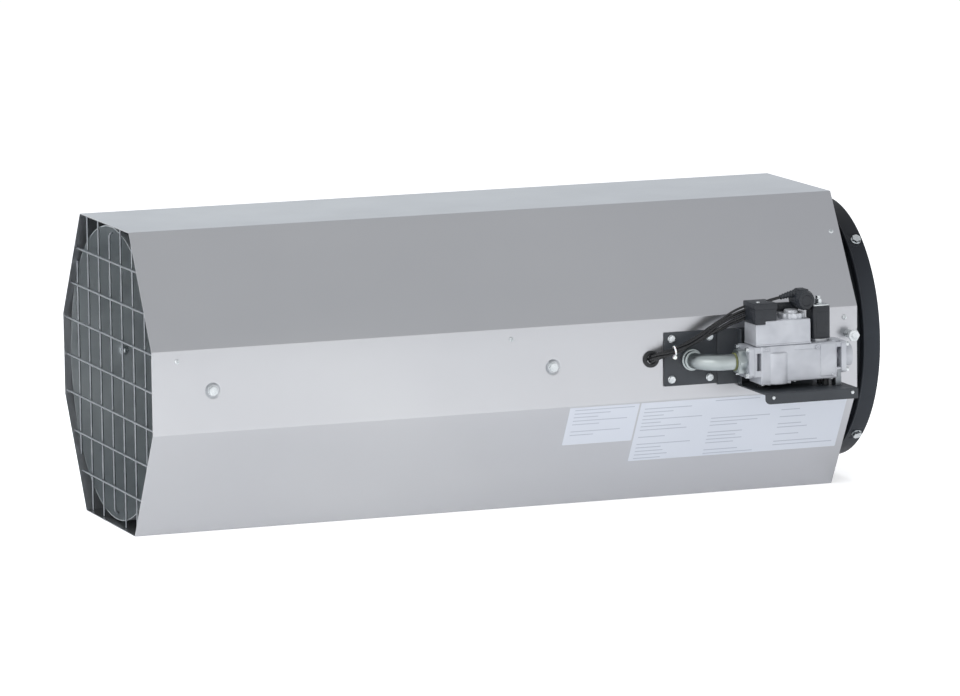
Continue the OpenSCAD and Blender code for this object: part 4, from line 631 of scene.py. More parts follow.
# ---- outlet grille: level wires in front, upright ones behind, the middle one hooked, a bead at each crossing
grilleSet = {"wire": 1.7, "levelX": -576.3, "uprightX": -572.8, "cells": 8, "hook": 6, "hookGap": 16,
    "insets": (1.3, 2.3)}
g = grilleSet
offsets = np.arange(1, g["cells"]) / g["cells"] - 0.5
grillePatches, uprights = [], []
levels = offsets * 2 * c["halfHeight"]
for rise in levels:
    inset = g["insets"][0 if axisZ + rise > c["lapZ"] else 1]
    reach = halfWidthAt(abs(rise) + g["wire"], inset)
    grillePatches.append(roundedRod((g["levelX"], -reach, axisZ + rise), (g["levelX"], reach, axisZ + rise),
        g["wire"]))
for out in offsets * 2 * c["halfWidth"]:
    if out == 0:
        straight = c["halfHeight"] - g["hookGap"] - g["hook"]
        turn = np.linspace(0, math.pi / 2, 9)
        hookX, hookZ = g["uprightX"] + g["hook"] * (1 - np.cos(turn)), straight + g["hook"] * np.sin(turn)
        top, bottom = [np.stack([hookX, 0 * hookX, axisZ + end * hookZ], 1) for end in (1, -1)]
        grillePatches.append(tubeAlong(np.concatenate([bottom[::-1], top]), g["wire"], 14, side=(0, 1, 0)))
        uprights.append((0, straight, straight))
        continue
    down, up = [halfHeightAt(abs(out) + g["wire"], g["insets"][0], slantIn) for slantIn in g["insets"][::-1]]
    uprights.append((out, down, up))
    grillePatches.append(roundedRod((g["uprightX"], out, axisZ - down), (g["uprightX"], out, axisZ + up), g["wire"]))
weldBead = puck(1.5, -0.9, 0.9, 0.7, 10)
for rise in levels:
    for out, down, up in uprights:
        if -down < rise < up and abs(out) < halfWidthAt(abs(rise) + g["wire"], g["insets"][0]):
            grillePatches.append(standPatch(weldBead, ((g["levelX"] + g["uprightX"]) / 2, out, axisZ + rise),
                (1, 0, 0)))
makePiece("grilleWires", grillePatches, nodeSlot["outlet_grille"], "outlet_grille")
print("outlet grille made")


# ---- combustion tube with its lock seam
tubeSet = {"outer": 229.0, "sheet": 1.0, "x0": -570.5, "x1": 551.0, "seamAngle": 100, "seamHigh": 0.45, "seamWide": 7}


# Rows of (radius, x) at angles in degrees round the casing's axis
def roundAxis(radius, x, degrees):
    rad = np.radians(degrees)[None, :]
    return np.stack([x + 0 * rad, -radius * np.cos(rad), axisZ + radius * np.sin(rad)], -1)


t = tubeSet
angle = np.unique(np.concatenate([np.linspace(0, 360, 97)[:-1], t["seamAngle"] + np.linspace(-4, 4, 17)]))
away = np.abs(angle - t["seamAngle"]) * math.pi / 180 * t["outer"]
lock = t["seamHigh"] * np.clip((t["seamWide"] - away) / 1.5, 0, 1)
alongX = np.concatenate([t["x0"] + np.array([0, 0.6, 3, 6]), np.linspace(t["x0"] + 40, t["x1"] - 4, 12), [t["x1"]]])
inside = np.repeat([0, 1], len(alongX))[:, None]
wall = t["outer"] - inside * t["sheet"] - inside * lock
tubePoints = roundAxis(wall, np.concatenate([alongX, alongX[::-1]])[:, None], angle)
makePiece("innerTube", [gridSurface(tubePoints, True)], "tube_sheet", "combustion_tube", crease=60)


# ---- inlet ring: a neck, a step, a wide band with a front lip, a rolled bead and four flats under the bolts
ringSet = {"outer": 209, "neck": 196, "wall": 3, "lip": 6, "neckX": 561, "bandX": 602, "frontX": 632, "bead": 1.5,
    "boltX": 620, "boltAngles": (48, 132, 228, 312), "flatLong": 20, "flatWide": 26, "flatDeep": 1.2,
    "soft": [0.8, 0.8, 2, 1.6, 2.4, 1.2, 1.2, 1.0, 1.4, 3], "step": 1.6}
r = ringSet
lipR, inR, neckIn = r["outer"] - r["lip"], r["outer"] - r["wall"], r["neck"] - r["wall"]
profile = bendCorners([(neckIn, r["neckX"]), (r["neck"], r["neckX"]), (r["neck"], r["bandX"]),
    (r["outer"], r["bandX"]), (r["outer"], r["frontX"]), (lipR, r["frontX"]), (lipR, r["frontX"] - r["wall"]),
    (inR, r["frontX"] - r["wall"]), (inR, r["bandX"] + r["wall"]), (neckIn, r["bandX"] + r["wall"])], r["soft"], 6)
profile = np.concatenate([np.linspace(a, b, max(2, int(np.hypot(*(b - a)) / r["step"])), endpoint=False)
    for a, b in zip(profile, np.roll(profile, -1, 0))])
angle = [np.linspace(0, 360, 145)[:-1]] + [a + np.linspace(-4.6, 4.6, 38) for a in r["boltAngles"]]
angle = np.unique(np.concatenate(angle).round(4))
nearest = np.min([np.abs((angle - a + 180) % 360 - 180) for a in r["boltAngles"]], axis=0) * math.pi / 180
radius, x = profile[:, :1], profile[:, 1:]
floor = (r["outer"] - r["flatDeep"]) / np.cos(nearest)[None, :]
inLong = np.clip((r["flatLong"] / 2 + 0.6 - np.abs(x - r["boltX"])) / 1.2, 0, 1)
inWide = np.clip((r["flatWide"] / 2 + 0.6 - nearest[None, :] * r["outer"]) / 1.2, 0, 1)
outside = radius > r["outer"] - 0.5
ring = np.where(outside, radius + (np.minimum(floor, radius) - radius) * inLong * inWide, radius + 0 * floor)
turn = fullTurn(12)
beadLoop = np.stack([r["outer"] + r["bead"] * np.cos(turn), r["bandX"] + r["bead"] * (1 + np.sin(turn))], 1)
rolled = standPatch(turned(beadLoop, 144, closed=True), (0, 0, axisZ), (1, 0, 0))
# the ring's black finish paints shade, darker towards its top
makePiece("inletRing", [gridSurface(roundAxis(ring, x, angle), True), rolled], "black_ring", "fan_ring", crease=42)
print("tube and inlet ring made")


# ---- fasteners
boltSet = {"flats": 13, "high": 5.3, "nut": 6.4, "washer": 8, "washerThick": 1.4, "shank": 4, "bore": 4.3,
    "pitch": 1.25, "groove": 0.6, "core": 3.3, "tubeSeat": 230, "tubeInner": 228, "tubeEnd": 231,
    "ringSeat": 207.8, "ringInner": 206, "ringEnd": 208.5, "tab": 3}
b = boltSet
washer = hoop(b["bore"], b["washer"], 0, b["washerThick"], 0.35, 40)


# A washer and head at one seat, and a nut with the thread's end at the other
def boltPatches(headSeat, headTurn, nutSeat, nutTurn, past, aim, up=(0, 0, 1)):
    head = lifted(hexHead(b["flats"], b["high"], headTurn), b["washerThick"])
    nut = hexHead(b["flats"], b["nut"], nutTurn, True)
    thread = threaded(b["shank"], 0, b["nut"] + past, b["pitch"], b["groove"])
    return standAll([washer, head], headSeat, aim, up) + standAll([nut, thread], nutSeat, -np.asarray(aim), up)


tubeBolts = []
nutSeat = math.sqrt(b["tubeInner"] ** 2 - b["flats"] ** 2 / 3) - 0.02
for x in c["dishX"]:
    for side in (-1, 1):
        seat, inner = (x, side * b["tubeSeat"], axisZ), (x, side * nutSeat, axisZ)
        tubeBolts += boltPatches(seat, 0.35 if x < 0 else 0.0, inner, 0.2, 6, (0, side, 0))
        tubeBolts.append(roundedRod((x, side * (nutSeat - 1), axisZ), (x, side * b["tubeEnd"], axisZ), b["core"]))
makePiece("tubeBoltSet", tubeBolts, "bright_fasteners", "tube_bolts")

ringBolts = []
tabInner = math.sqrt(b["ringInner"] ** 2 - b["flats"] ** 2) - 0.1 - b["tab"]
for a in np.radians(ringSet["boltAngles"]):
    aim = np.array([0, -math.cos(a), math.sin(a)])
    seat, inner, low, high = [np.array([ringSet["boltX"], 0, axisZ]) + radius * aim
        for radius in (b["ringSeat"], tabInner, tabInner - 1, b["ringEnd"])]
    ringBolts += boltPatches(seat, 0.2, inner, 0.1, 3, aim, (1, 0, 0)) + [roundedRod(low, high, b["core"])]
makePiece("ringBoltSet", ringBolts, "bright_fasteners", "ring_bolts")

smallScrewSet = {"x": (-541, 0, 559), "z": 283, "head": 4, "high": 2.4, "slantX": 566, "slantUp": 175.5}
s = smallScrewSet
smallHead = crossHead(s["head"], s["high"])
smallShank = turned([(0, -3), (1.2, -3), (1.8, -2), (1.8, 0.3), (0, 0.3)], 16)
slantWidth = (c["slantAway"] - c["slantZ"] * s["slantUp"]) / c["slantY"]
smallScrews = []
for side in (-1, 1):
    spots = [((x, side * c["halfWidth"], s["z"]), (0, side, 0)) for x in s["x"]]
    spots.append(((s["slantX"], side * slantWidth, axisZ + s["slantUp"]), (0, side * c["slantY"], c["slantZ"])))
    for spot, aim in spots:
        smallScrews += [standPatch(smallHead, spot, aim, (0.35, 0, 1)), standPatch(smallShank, spot, aim)]
makePiece("shellScrewSet", smallScrews, "bright_fasteners", "casing_screws")

plateScrewSet = {"x": 297, "pitch": 64, "wall": 235, "flats": 10, "flange": 6.25, "high": 4, "shank": 2.9, "long": 8}
p = plateScrewSet
flange = turnedSoft([(0, 0), (p["flange"], 0), (p["flange"], 0.7), (p["flats"] / 2, 1.5), (0, 1.5)],
    [0, 0.1, 0.3, 0.4, 0], 40)
plateScrews = []
for k, (sx, sz) in enumerate([(-1, -1), (1, -1), (-1, 1), (1, 1)]):
    seat = (p["x"] + sx * p["pitch"] / 2, -p["wall"], axisZ + sz * p["pitch"] / 2)
    plateScrews += standAll([flange, hexHead(p["flats"], p["high"], 0.3 * k)], seat, (0, -1, 0))
    plateScrews.append(roundedRod(seat, np.array(seat) + (0, p["long"], 0), p["shank"]))
makePiece("plateScrewSet", plateScrews, "bright_fasteners", "plate_screws")

studSet = {"x": 566, "z": 256, "base": 230.5, "skin": 232, "out": 25, "rod": 5, "collar": 7, "collars": 3,
    "step": 5.5, "collarHigh": 2.5, "flats": 17, "nut": 7}
q = studSet
skin = q["skin"] - q["base"]
nutLow = skin + q["out"] - q["nut"]
studPatches = [puck(q["rod"], 0, skin + 4, 0.4, 32), threaded(q["rod"], skin + 2, skin + q["out"], 1.25, 0.55)]
studPatches += [puck(q["collar"], low, low + q["collarHigh"], 0.6)
    for low in skin + q["step"] * np.arange(q["collars"])]
studPatches += [lifted(hexHead(q["flats"], q["nut"] - 1.2, 0.0, True, 0.9), nutLow + 0.4),
    lifted(turnedSoft([(0, 0), (8.2, 0), (8.4, 0.8), (6.5, 1.3), (0, 1.3)], 0.3, 40), nutLow - 0.6)]
studs = [standAll(studPatches, (q["x"], side * q["base"], q["z"]), (0, side, 0)) for side in (-1, 1)]
makePiece("studSet", studs[0] + studs[1], "bright_fasteners", "side_studs")
print("fasteners made")


# ---- gas line: stepped collar, bent pipe, seal and union nut
lineSet = {"x": 297, "y": -288, "z": 233, "pipe": 12.5, "bend": 38, "wall": -235.3, "end": 364, "collar": 17,
    "collarLong": 7.7, "ring": 15, "ringLong": 14.7, "sealX": 347, "sealWide": 3, "seal": 14, "nutX": 350,
    "nutFlats": 35.5, "nutLong": 14, "nutCollar": 15.6}
n = lineSet
quarter = np.linspace(0, math.pi / 2, 25)
bendX, bendY = n["x"] + n["bend"] * (1 - np.cos(quarter)), n["y"] + n["bend"] * (1 - np.sin(quarter))
pipePath = np.concatenate([[(n["x"], n["wall"], n["z"]), (n["x"], n["wall"] - 8, n["z"])],
    np.stack([bendX, bendY, 0 * quarter + n["z"]], 1), [(n["end"] - 8, n["y"], n["z"]), (n["end"], n["y"], n["z"])]])
collarOutline = [(0, 0), (n["collar"], 0), (n["collar"], n["collarLong"]), (n["ring"], n["collarLong"]),
    (n["ring"], n["ringLong"]), (n["pipe"] - 1, n["ringLong"]), (0, n["ringLong"])]
collar = turnedSoft(collarOutline, [0, 0.4, 1.3, 0.5, 1.4, 0.3, 0], 56)
collar = standPatch(collar, (n["x"], n["wall"], n["z"]), (0, -1, 0))
makePiece("gasElbow", [tubeAlong(pipePath, n["pipe"], 40), collar], "zinc_pipe", "gas_elbow")
bore = n["pipe"] + 0.1
sealRing = hoop(bore, n["seal"], 0, n["sealWide"], 0.8)
makePiece("pipeSeal", [standPatch(sealRing, (n["sealX"], n["y"], n["z"]), (1, 0, 0))], "seal_rubber", "pipe_seal")
nutPatches = [lifted(hexNut(n["nutFlats"], n["nutLong"] - 1.2, bore), 1.2), hoop(bore, n["nutCollar"], 0, 2.4, 0.5)]
makePiece("unionNut", standAll(nutPatches, (n["nutX"], n["y"], n["z"]), (1, 0, 0)), "zinc_pipe", "union_nut")

plateSet = {"x": (252.5, 341.5), "y": (-235, -233), "z": (192.5, 277.5), "corner": 1.5, "rim": 0.5}
wide, thick, tall = [plateSet[axis][1] - plateSet[axis][0] for axis in "xyz"]
platePatch = roundPlate(wide, tall, plateSet["corner"], thick, plateSet["rim"])
plateSeat = (sum(plateSet["x"]) / 2, plateSet["y"][1], sum(plateSet["z"]) / 2)
makePiece("gasPlate", [standPatch(platePatch, plateSeat, (0, -1, 0))], nodeSlot["burner_plate"], "burner_plate")


# ---- valve: body with necks, pockets and filter bulge, regulator block, flange screws
valveSet = {"blockX": (384, 512), "y": (-313, -263), "z": (200, 258), "flangeX": (364, 372.5, 519.5, 528),
    "neckZ": (209, 257), "slotDeep": 15, "slots": (27, 32), "coverX": 434, "coverZ": 197, "bulge": 20,
    "bulgeAt": (413.5, -299, 197), "bulgeTop": 247}
v, mid = valveSet, lineSet["z"]
(x0, x1), (y0, y1), (z0, z1), (n0, n1) = v["blockX"], v["y"], v["z"], v["neckZ"]
outX, back = v["flangeX"][1], y0 + v["slotDeep"]
bodyPatches = softBoxes(((x0, y0, z0), (x1, y1, z1), 2.2),
    ((x0 + 0.4, y0 + 0.4, v["coverZ"]), (v["coverX"], y1 - 0.4, z0 + 4), 0.8),
    ((outX + 0.1, y0 + 1.3, n0 + 0.4), (outX + 5, y1 - 1.3, n1 - 0.4), 1.0))
for low, high, slot in ((outX, x0 + 3, v["slots"][0]), (x1 - 3, v["flangeX"][2], v["slots"][1])):
    bodyPatches += softBoxes(((low, back, n0), (high, y1 - 1, n1), 0.8),
        ((low, y0 + 1, mid + slot / 2), (high, back + 2, n1 - 0.2), 0.8),
        ((low, y0 + 1, n0 + 0.2), (high, back + 2, mid - slot / 2), 0.8))
bodyPatches.append(standPatch(puck(v["bulge"], 0, v["bulgeTop"] - v["coverZ"], [0, 1.5, 3.5, 0], 72), v["bulgeAt"]))
# Raised pads and a rib on the front, a low cover on the top, a web between block and flange
bodyPatches += softBoxes(((484, y0 - 1.1, z0 + 5), (x1 - 3, y0 + 2, z1 - 2), 0.7),
    ((440, y0 - 0.6, z1 - 9), (482, y0 + 2, z1 - 1), 0.5),
    ((x0 + 1.5, y0 - 1, z1 - 9), (x0 + 14, y0 + 2, z1 - 1.5), 0.7), ((506, -306, z1 - 1), (519, -270, z1 + 1.4), 0.6))
boss = turnedSoft([(0, 0), (3.4, 0), (3.4, 2.2), (1.6, 2.2), (1.6, 1.2), (0, 1.2)], [0, 0.2, 0.5, 0.2, 0.1, 0], 24)
for x, z in ((478.5, z1 - 6.5), (506, z0 + 7), (391, z1 - 5)):
    bodyPatches.append(standPatch(boss, (x, y0 - 0.6, z), (0, -1, 0)))
makePiece("valveBody", bodyPatches, "cast_aluminium", "valve_body", crease=44)

footSet = {"r": 5, "z": 188, "spots": ((398, -277, 9), (498, -299, 12), (498, -277, 12))}
feet = [standPatch(puck(footSet["r"], 0, high, 0.5, 32), (x, y, footSet["z"])) for x, y, high in footSet["spots"]]
makePiece("valveFeet", feet, "grommet_black")
leg = softBoxes(((509.5, y0 + 0.3, 188), (519.3, -295, 203), 0.8),
    ((512.2, y0 + 0.6, 188.2), (519, -295.4, 214), 0.8))
makePiece("valveLeg", leg, nodeSlot["valve_feet"], "valve_feet")

regulatorSet = {"x": (375.5, 391.5, 467.5), "y": (-313, -265), "z": (258, 292, 297)}
(gx0, gx1, gx2), (gy0, gy1), (gz0, gz1, gz2) = regulatorSet["x"], regulatorSet["y"], regulatorSet["z"]
regulatorPatches = softBoxes(((gx0, gy0, gz0), (gx2, gy1, gz1), 1.6),
    ((gx1, gy0 + 0.25, gz1 - 6), (gx2 - 0.25, gy1 - 0.25, gz2), 1.6),
    ((gx0 - 0.5, gy0 - 1.2, gz0 + 0.1), (gx2 + 0.6, gy1, gz0 + 2.6), 0.9))
makePiece("regulatorBlock", regulatorPatches, "cast_aluminium", "regulator_block", crease=44)

flangeScrewSet = {"washer": (2.6, 4.25, 0, 0.9), "flats": 7.2, "high": 4.0, "away": 20, "shank": 2.5, "long": 14.5,
    "coverX": (388, 398.5, 409, 441, 503), "coverY": -309.5, "coverHead": (2.6, 1.9)}
e = flangeScrewSet
headPatches = [hoop(*e["washer"], 0.25, 28), lifted(hexHead(e["flats"], e["high"], 0.2), e["washer"][3])]
flangeScrews = []
for face, side in ((v["flangeX"][0], -1), (v["flangeX"][3], 1)):
    for y in (lineSet["y"] - e["away"], lineSet["y"] + e["away"]):
        for z in (mid - e["away"], mid + e["away"]):
            flangeScrews += standAll(headPatches, (face, y, z), (side, 0, 0))
            flangeScrews.append(roundedRod((face + side, y, z), (face - side * e["long"], y, z), e["shank"]))
# Cover screws under the body
for x in e["coverX"]:
    seat = (x, e["coverY"], v["coverZ"] if x < v["coverX"] else z0)
    flangeScrews.append(standPatch(crossHead(*e["coverHead"]), seat, (0, 0, -1)))
makePiece("flangeScrewSet", flangeScrews, "bright_fasteners", "flange_screws")

capSet = {"at": (444.5, -288, 297), "r": 20.2, "lobe": 0.8, "lobes": 12, "high": 8, "hub": 11, "hubTop": 12.5,
    "floor": 6.4}
e = capSet
capOutline = [(0, 0), (e["r"], 0), (e["r"], e["high"]), (15.5, e["high"]), (14.5, e["floor"]),
    (e["hub"] + 0.6, e["floor"]), (e["hub"], e["hubTop"]), (0, e["hubTop"])]
capPatch = ribbed(capOutline, [0, 0.4, 1.5, 0.8, 0.8, 0.5, 2.2, 0], e["r"] - 1.6, e["lobe"], e["lobes"])
makePiece("regulatorCap", [standPatch(capPatch, e["at"])], "grey_cap", "regulator_cap")


# ---- solenoid coil, its plate and nut, connector with its arm, plug and boot
coilSet = {"x": 490.5, "y": -288, "z": (262.5, 313.5), "wide": 30, "corner": 5, "plate": 27, "plateThick": 2.4,
    "nutFlats": 10, "nutHigh": 13, "stub": 3.9, "washer": 6.4, "washerThick": 1.2}
k = coilSet
kx, ky, (kz0, kz1), front = k["x"], k["y"], k["z"], k["y"] - k["wide"] / 2
coilPatches = [standPatch(roundPlate(k["wide"], k["wide"], k["corner"], kz1 - kz0, 1.2, 9), (kx, ky, kz0)),
    softBox((kx - 9, front - 0.6, kz0 + 9), (kx + 9, front + 1, kz1 - 9), 0.5)]
makePiece("coilBody", coilPatches, "black_plastic", "solenoid_coil")
coilPlate = roundPlate(k["plate"], k["plate"], k["corner"] - 1, k["plateThick"], 0.5, 7)
makePiece("coilPlate", [standPatch(coilPlate, (kx, ky, kz1))], "bright_fasteners", "coil_plate")
coilNut = [puck(k["washer"], 0, k["washerThick"], 0.3), puck(k["stub"], 0, k["nutHigh"], 0.9, 32),
    lifted(hexHead(k["nutFlats"], k["nutHigh"] / 2, 0.2), k["washerThick"])]
makePiece("coilNut", standAll(coilNut, (kx, ky, kz1 + k["plateThick"])), "bright_fasteners", "coil_nut")

connectorSet = {"x": (374.5, 391.3, 410.5), "y": (-313, -265), "z": (292, 297, 325), "armEnd": 463,
    "armY": (-276.5, -265.5), "armZ": (305.5, 318.5), "lidZ": 315, "ribX": (418, 428, 438), "rib": 1.6,
    "screwAt": (384.5, -299, 325)}
m = connectorSet
(mx0, mx1, mx2), (my0, my1), (mz0, mz1, mz2), (ay0, ay1), (az0, az1) = [m[key]
    for key in ("x", "y", "z", "armY", "armZ")]
connectorPatches = softBoxes(((mx0, my0, mz0 + 0.1), (mx1, my1, mz1 + 5), 1.2),
    ((mx0 + 0.3, my0 + 0.3, mz1 + 0.1), (mx2, my1 - 0.3, mz2 - 4), 1.2),
    ((mx0 - 0.7, my0 - 0.7, m["lidZ"]), (mx2 + 0.7, my1 + 0.7, mz2), 1.4),
    ((mx2 - 3, ay0, az0), (m["armEnd"], ay1, az1), 2.2), ((mx0 - 0.6, -304, 298), (mx0 + 1, -282, 311), 0.5),
    *(((x, ay0 - 0.5, az0 + 1.5), (x + m["rib"], ay0 + 1, az1 - 1.5), 0.4) for x in m["ribX"]))
makePiece("valveConnector", connectorPatches, "black_plastic", "valve_connector")
connectorShank = turned([(0, -3.4), (1.6, -3.4), (1.6, 0.2), (0, 0.2)], 20)
connectorScrew = [standPatch(crossHead(3.2, 1.8), m["screwAt"], (0, 0, 1), (1, 0.4, 0)),
    standPatch(connectorShank, m["screwAt"])]
makePiece("connectorScrew", connectorScrew, "bright_fasteners", "connector_screw")

plugSet = {"x": 463, "y": (-306, -270), "z": 324.5, "r": 15.7, "grip": 0.3, "grips": 26, "rim": 13.2, "rimOut": 3,
    "boot": [(428, -283.5, 328.6), (436, -284, 330.6), (444, -284.5, 332.4), (452, -285, 333.6)],
    "bootR": (3.2, 2.6, 0.75, 5.5)}
q = plugSet
plugLong = q["y"][1] - q["y"][0]
plugOut = plugLong + q["rimOut"]
plugOutline = [(0, 0), (q["r"] - 1, 0), (q["r"], 3), (q["r"], plugLong - 5), (q["rim"], plugLong),
    (q["rim"], plugOut), (9, plugOut), (8, plugLong + 1.6), (0, plugLong + 1.6)]
plugPatch = ribbed(plugOutline, [0, 2, 2, 3, 1, 1.2, 0.6, 0.6, 0], q["r"] - 0.5, q["grip"], q["grips"])
plugPatches = [standPatch(plugPatch, (q["x"], q["y"][1], q["z"]), (0, -1, 0))]
plugPatches += softBoxes(((468, -296, 307.5), (475.5, -280, 318), 1.2), ((456, -300, 336), (470, -276, 341), 1.4))
# Ribbed boot: its radius grows along the way and swells at each rib
bootPath = smoothPath(q["boot"], 16)
way = np.linspace(0, 1, len(bootPath))
thin, grow, swell, ribs = q["bootR"]
bootRadius = thin + grow * way + swell * np.clip(np.sin(way * ribs * 2 * math.pi), -0.2, 1)
plugPatches.append(tubeAlong(bootPath, bootRadius, 24))
makePiece("coilPlug", plugPatches, "black_plastic", "coil_plug")


# ---- lead bundle: strands lie together through the grommet and the tie and fan out towards the connector
leadSet = {"start": (231.5, -233, 237), "reach": 3.7, "twist": 22, "fanFrom": 46, "fanTo": 136,
    "route": [(0, -3, 0), (0, 3, 0.5), (3, 9, 3.8), (9, 14, 7), (20, 18, 10), (32, 20, 14), (44, 22, 19), (55, 23, 24),
        (69, 25, 31), (78, 27, 36), (86, 28, 41), (98, 30, 48), (109, 32, 54), (120, 34, 60),
        (132, 36, 65), (143, 38, 69)],
    "strands": [(1.9, -1, 10.2), (1.8, 1.5, 5.6), (2.3, -1, 1.2), (2.5, 1, -4.6), (2.6, -2.5, -9.2)],
    "plugLead": [(403, -283, 322), (409, -283, 324.6), (417, -283, 326.4), (424, -283.2, 327.8), (430, -283.5, 329)],
    "plugR": 2.3}
e = leadSet
route = np.array(e["route"], float) * (1, -1, 1) + e["start"]
routePath = smoothPath(route, 8)
way = np.linspace(0, len(route) - 1, len(routePath))
bundleU, bundleV = pathAxes(routePath, (1, 0, -1))
fan = np.clip((routePath[:, 0] - e["start"][0] - e["fanFrom"]) / (e["fanTo"] - e["fanFrom"]), 0, 1)
fan = (fan ** 2 * (3 - 2 * fan))[:, None]
leadPatches = []
for i, (radius, out, rise) in enumerate(e["strands"]):
    spin = np.radians(i * 72 + 90 + way * e["twist"] * (1 - fan[:, 0]))[:, None]
    together = e["reach"] * (np.cos(spin) * bundleU + np.sin(spin) * bundleV)
    leadPatches.append(tubeAlong(routePath + (1 - fan) * together + fan * np.array([0, -out, rise]), radius, 14,
        side=(1, 0.2, -1)))
leadPatches.append(tubeAlong(smoothPath(e["plugLead"], 10), e["plugR"], 14))
makePiece("valveLeads", leadPatches, "lead_cover", "valve_leads")

tieSet = {"point": 5, "r": 6.6, "thick": 1.1, "wide": 2.6, "head": 4.2, "ball": 3.1, "drop": 10.6}
t = tieSet
tieAt, tieAim = route[t["point"]], (route[t["point"] + 1] - route[t["point"] - 1]) * (1, 1, 0.5)
strap = hoop(t["r"], t["r"] + t["thick"], -t["wide"] / 2, t["wide"] / 2, 0.4)
tieHead = softBox(tieAt + (-2, -2, -t["r"] - t["head"]), tieAt + (2, 2, -t["r"] + 0.4), 0.9)
ball = puck(t["ball"], -t["ball"], t["ball"], t["ball"] * 0.9, 24, 9)
tiePatches = [standPatch(strap, tieAt, tieAim), tieHead, standPatch(ball, tieAt - (0, 0, t["drop"]), (0, -1, 0))]
makePiece("cableTie", tiePatches, "white_nylon", "cable_tie")

grommetSet = {"at": (231.5, -232, 237), "r": 13.5, "bore": 7, "lip": 3.2, "groove": 9.5, "throat": 4.6, "deep": -3}
g = grommetSet
grommetLoop = [(g["throat"] + 1, g["deep"]), (g["groove"] + 1, g["deep"]), (g["groove"] + 1, -1.1),
    (g["groove"], -1.1), (g["groove"], 0.05), (g["r"], 0.05), (g["r"] - 0.4, g["lip"]), (g["bore"], g["lip"]),
    (g["bore"], 0), (g["throat"], -0.6), (g["throat"], g["deep"])]
grommet = turnedRing(grommetLoop, [0.3, 0.5, 0.2, 0.1, 0.1, 0.3, 1.6, 1.4, 0.3, 0.3, 0.3], 56, 5)
makePiece("leadGrommet", [standPatch(grommet, g["at"], (0, -1, 0))], "grommet_black", "lead_grommet")
print("leads, tie and grommet made")


# ---- tray: a folded shelf whose lip has one round corner, the bracket on the casing and its fold
traySet = {"x": (377.5, 533.5), "y": (-345, -233), "z": 188, "sheet": 2, "lip": 171.5, "corner": 8, "bend": 3,
    "rivetX": (391, 524), "rivetZ": 181.5}
t = traySet
tx0, ty0, foldZ = t["x"][0], t["y"][0], t["z"] - 4
lipZ = np.linspace(t["lip"], foldZ, 22)
trayBends = bendCorners([(ty0, foldZ), (ty0, t["z"]), (t["y"][1], t["z"])], t["bend"], 8, False)
trayOutline = np.concatenate([np.stack([0 * lipZ + ty0, lipZ], 1), trayBends[1:]])
cornerDrop = np.clip(t["lip"] + t["corner"] - trayOutline[:, 1], 0, t["corner"])
startX = tx0 + t["corner"] - np.sqrt(t["corner"] ** 2 - cornerDrop ** 2)
share = np.linspace(0, 1, 9)[:, None]
shelf = bentSheet(trayOutline, startX[None] * (1 - share) + t["x"][1] * share, sheet=-t["sheet"])
bracket = softBoxes(((342, -235, 190), (504.5, -233, 277.5), 0.5), ((tx0, -235, 186.4), (504.5, -233, 193), 0.5),
    ((374.5, -253, 190), (376.5, -234.4, 277.5), 0.6))
makePiece("valveTray", [shelf] + bracket, "grey_coat", "valve_tray", crease=50)
rivet = turnedSoft([(0, -0.2), (3, -0.2), (2.6, 0.9), (1, 1.4), (0, 1.4)], [0, 0.3, 0.5, 0.6, 0], 28)
rivetPatches = []
for x in t["rivetX"]:
    rivetPatches += [standPatch(rivet, (x, ty0, t["rivetZ"]), (0, -1, 0)),
        standPatch(rivet, (x, ty0 + t["sheet"], t["rivetZ"]), (0, 1, 0)),
        roundedRod((x, ty0 - 0.2, t["rivetZ"]), (x, ty0 + t["sheet"] + 0.2, t["rivetZ"]), 1.4)]
makePiece("rivetSet", rivetPatches, "bright_fasteners", "tray_rivets")
print("valve and tray made")


# ---- spring under the solenoid: a round wire coil, its ends turned flat
springSet = {"x": 490.5, "y": -288, "z": (226.8, 257.2), "r": 7, "wire": 0.62, "turns": 5}
w = springSet
turn = np.linspace(0, 1, 181)
spin = turn * w["turns"] * 2 * math.pi
coilPath = np.stack([w["x"] + w["r"] * np.cos(spin), w["y"] + w["r"] * np.sin(spin),
    w["z"][0] + (w["z"][1] - w["z"][0]) * np.clip((turn - 0.07) / 0.86, 0, 1)], 1)
spring = makePiece("plungerSpring", [tubeAlong(coilPath, w["wire"], 10)], "steel_parts", "plunger_spring")
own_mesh(spring)


# ---- bare labels on the lower slant
labelSet = {"spans": ((97, 213, 75), (216, 569, 118)), "down": 3, "thick": 0.3, "lift": 0.02, "rim": 0.1,
    "corner": 1.5}
e = labelSet
labelWide, labelBend = halfSection(1, 1, 0)[:2]
labelPatches = []
for x0, x1, tall in e["spans"]:
    down = e["down"] + tall / 2
    seat = ((x0 + x1) / 2, -labelWide + down * c["slantZ"], axisZ - labelBend - down * c["slantY"])
    levels = [(e["lift"], 0), (e["thick"] - 0.08, 0), (e["thick"], e["rim"])]
    film = prism(rectangle(x1 - x0, tall, e["corner"], 5), levels)
    labelPatches.append(standPatch(film, seat, (0, -c["slantY"], -c["slantZ"])))
makePiece("bareLabels", labelPatches, "label_film", "blank_labels")


# ---- fan: blades on the rotor, guard and motor arms in the inlet ring

# Turns local points (along X, tangent, radius) to an angle round the fan's axis
def ringPlace(patch, degrees):
    x, t, r = np.moveaxis(patch[0], -1, 0)
    a = math.radians(degrees)
    return np.stack([x, t * math.sin(a) - r * math.cos(a), axisZ + r * math.sin(a) + t * math.cos(a)], -1), patch[1]


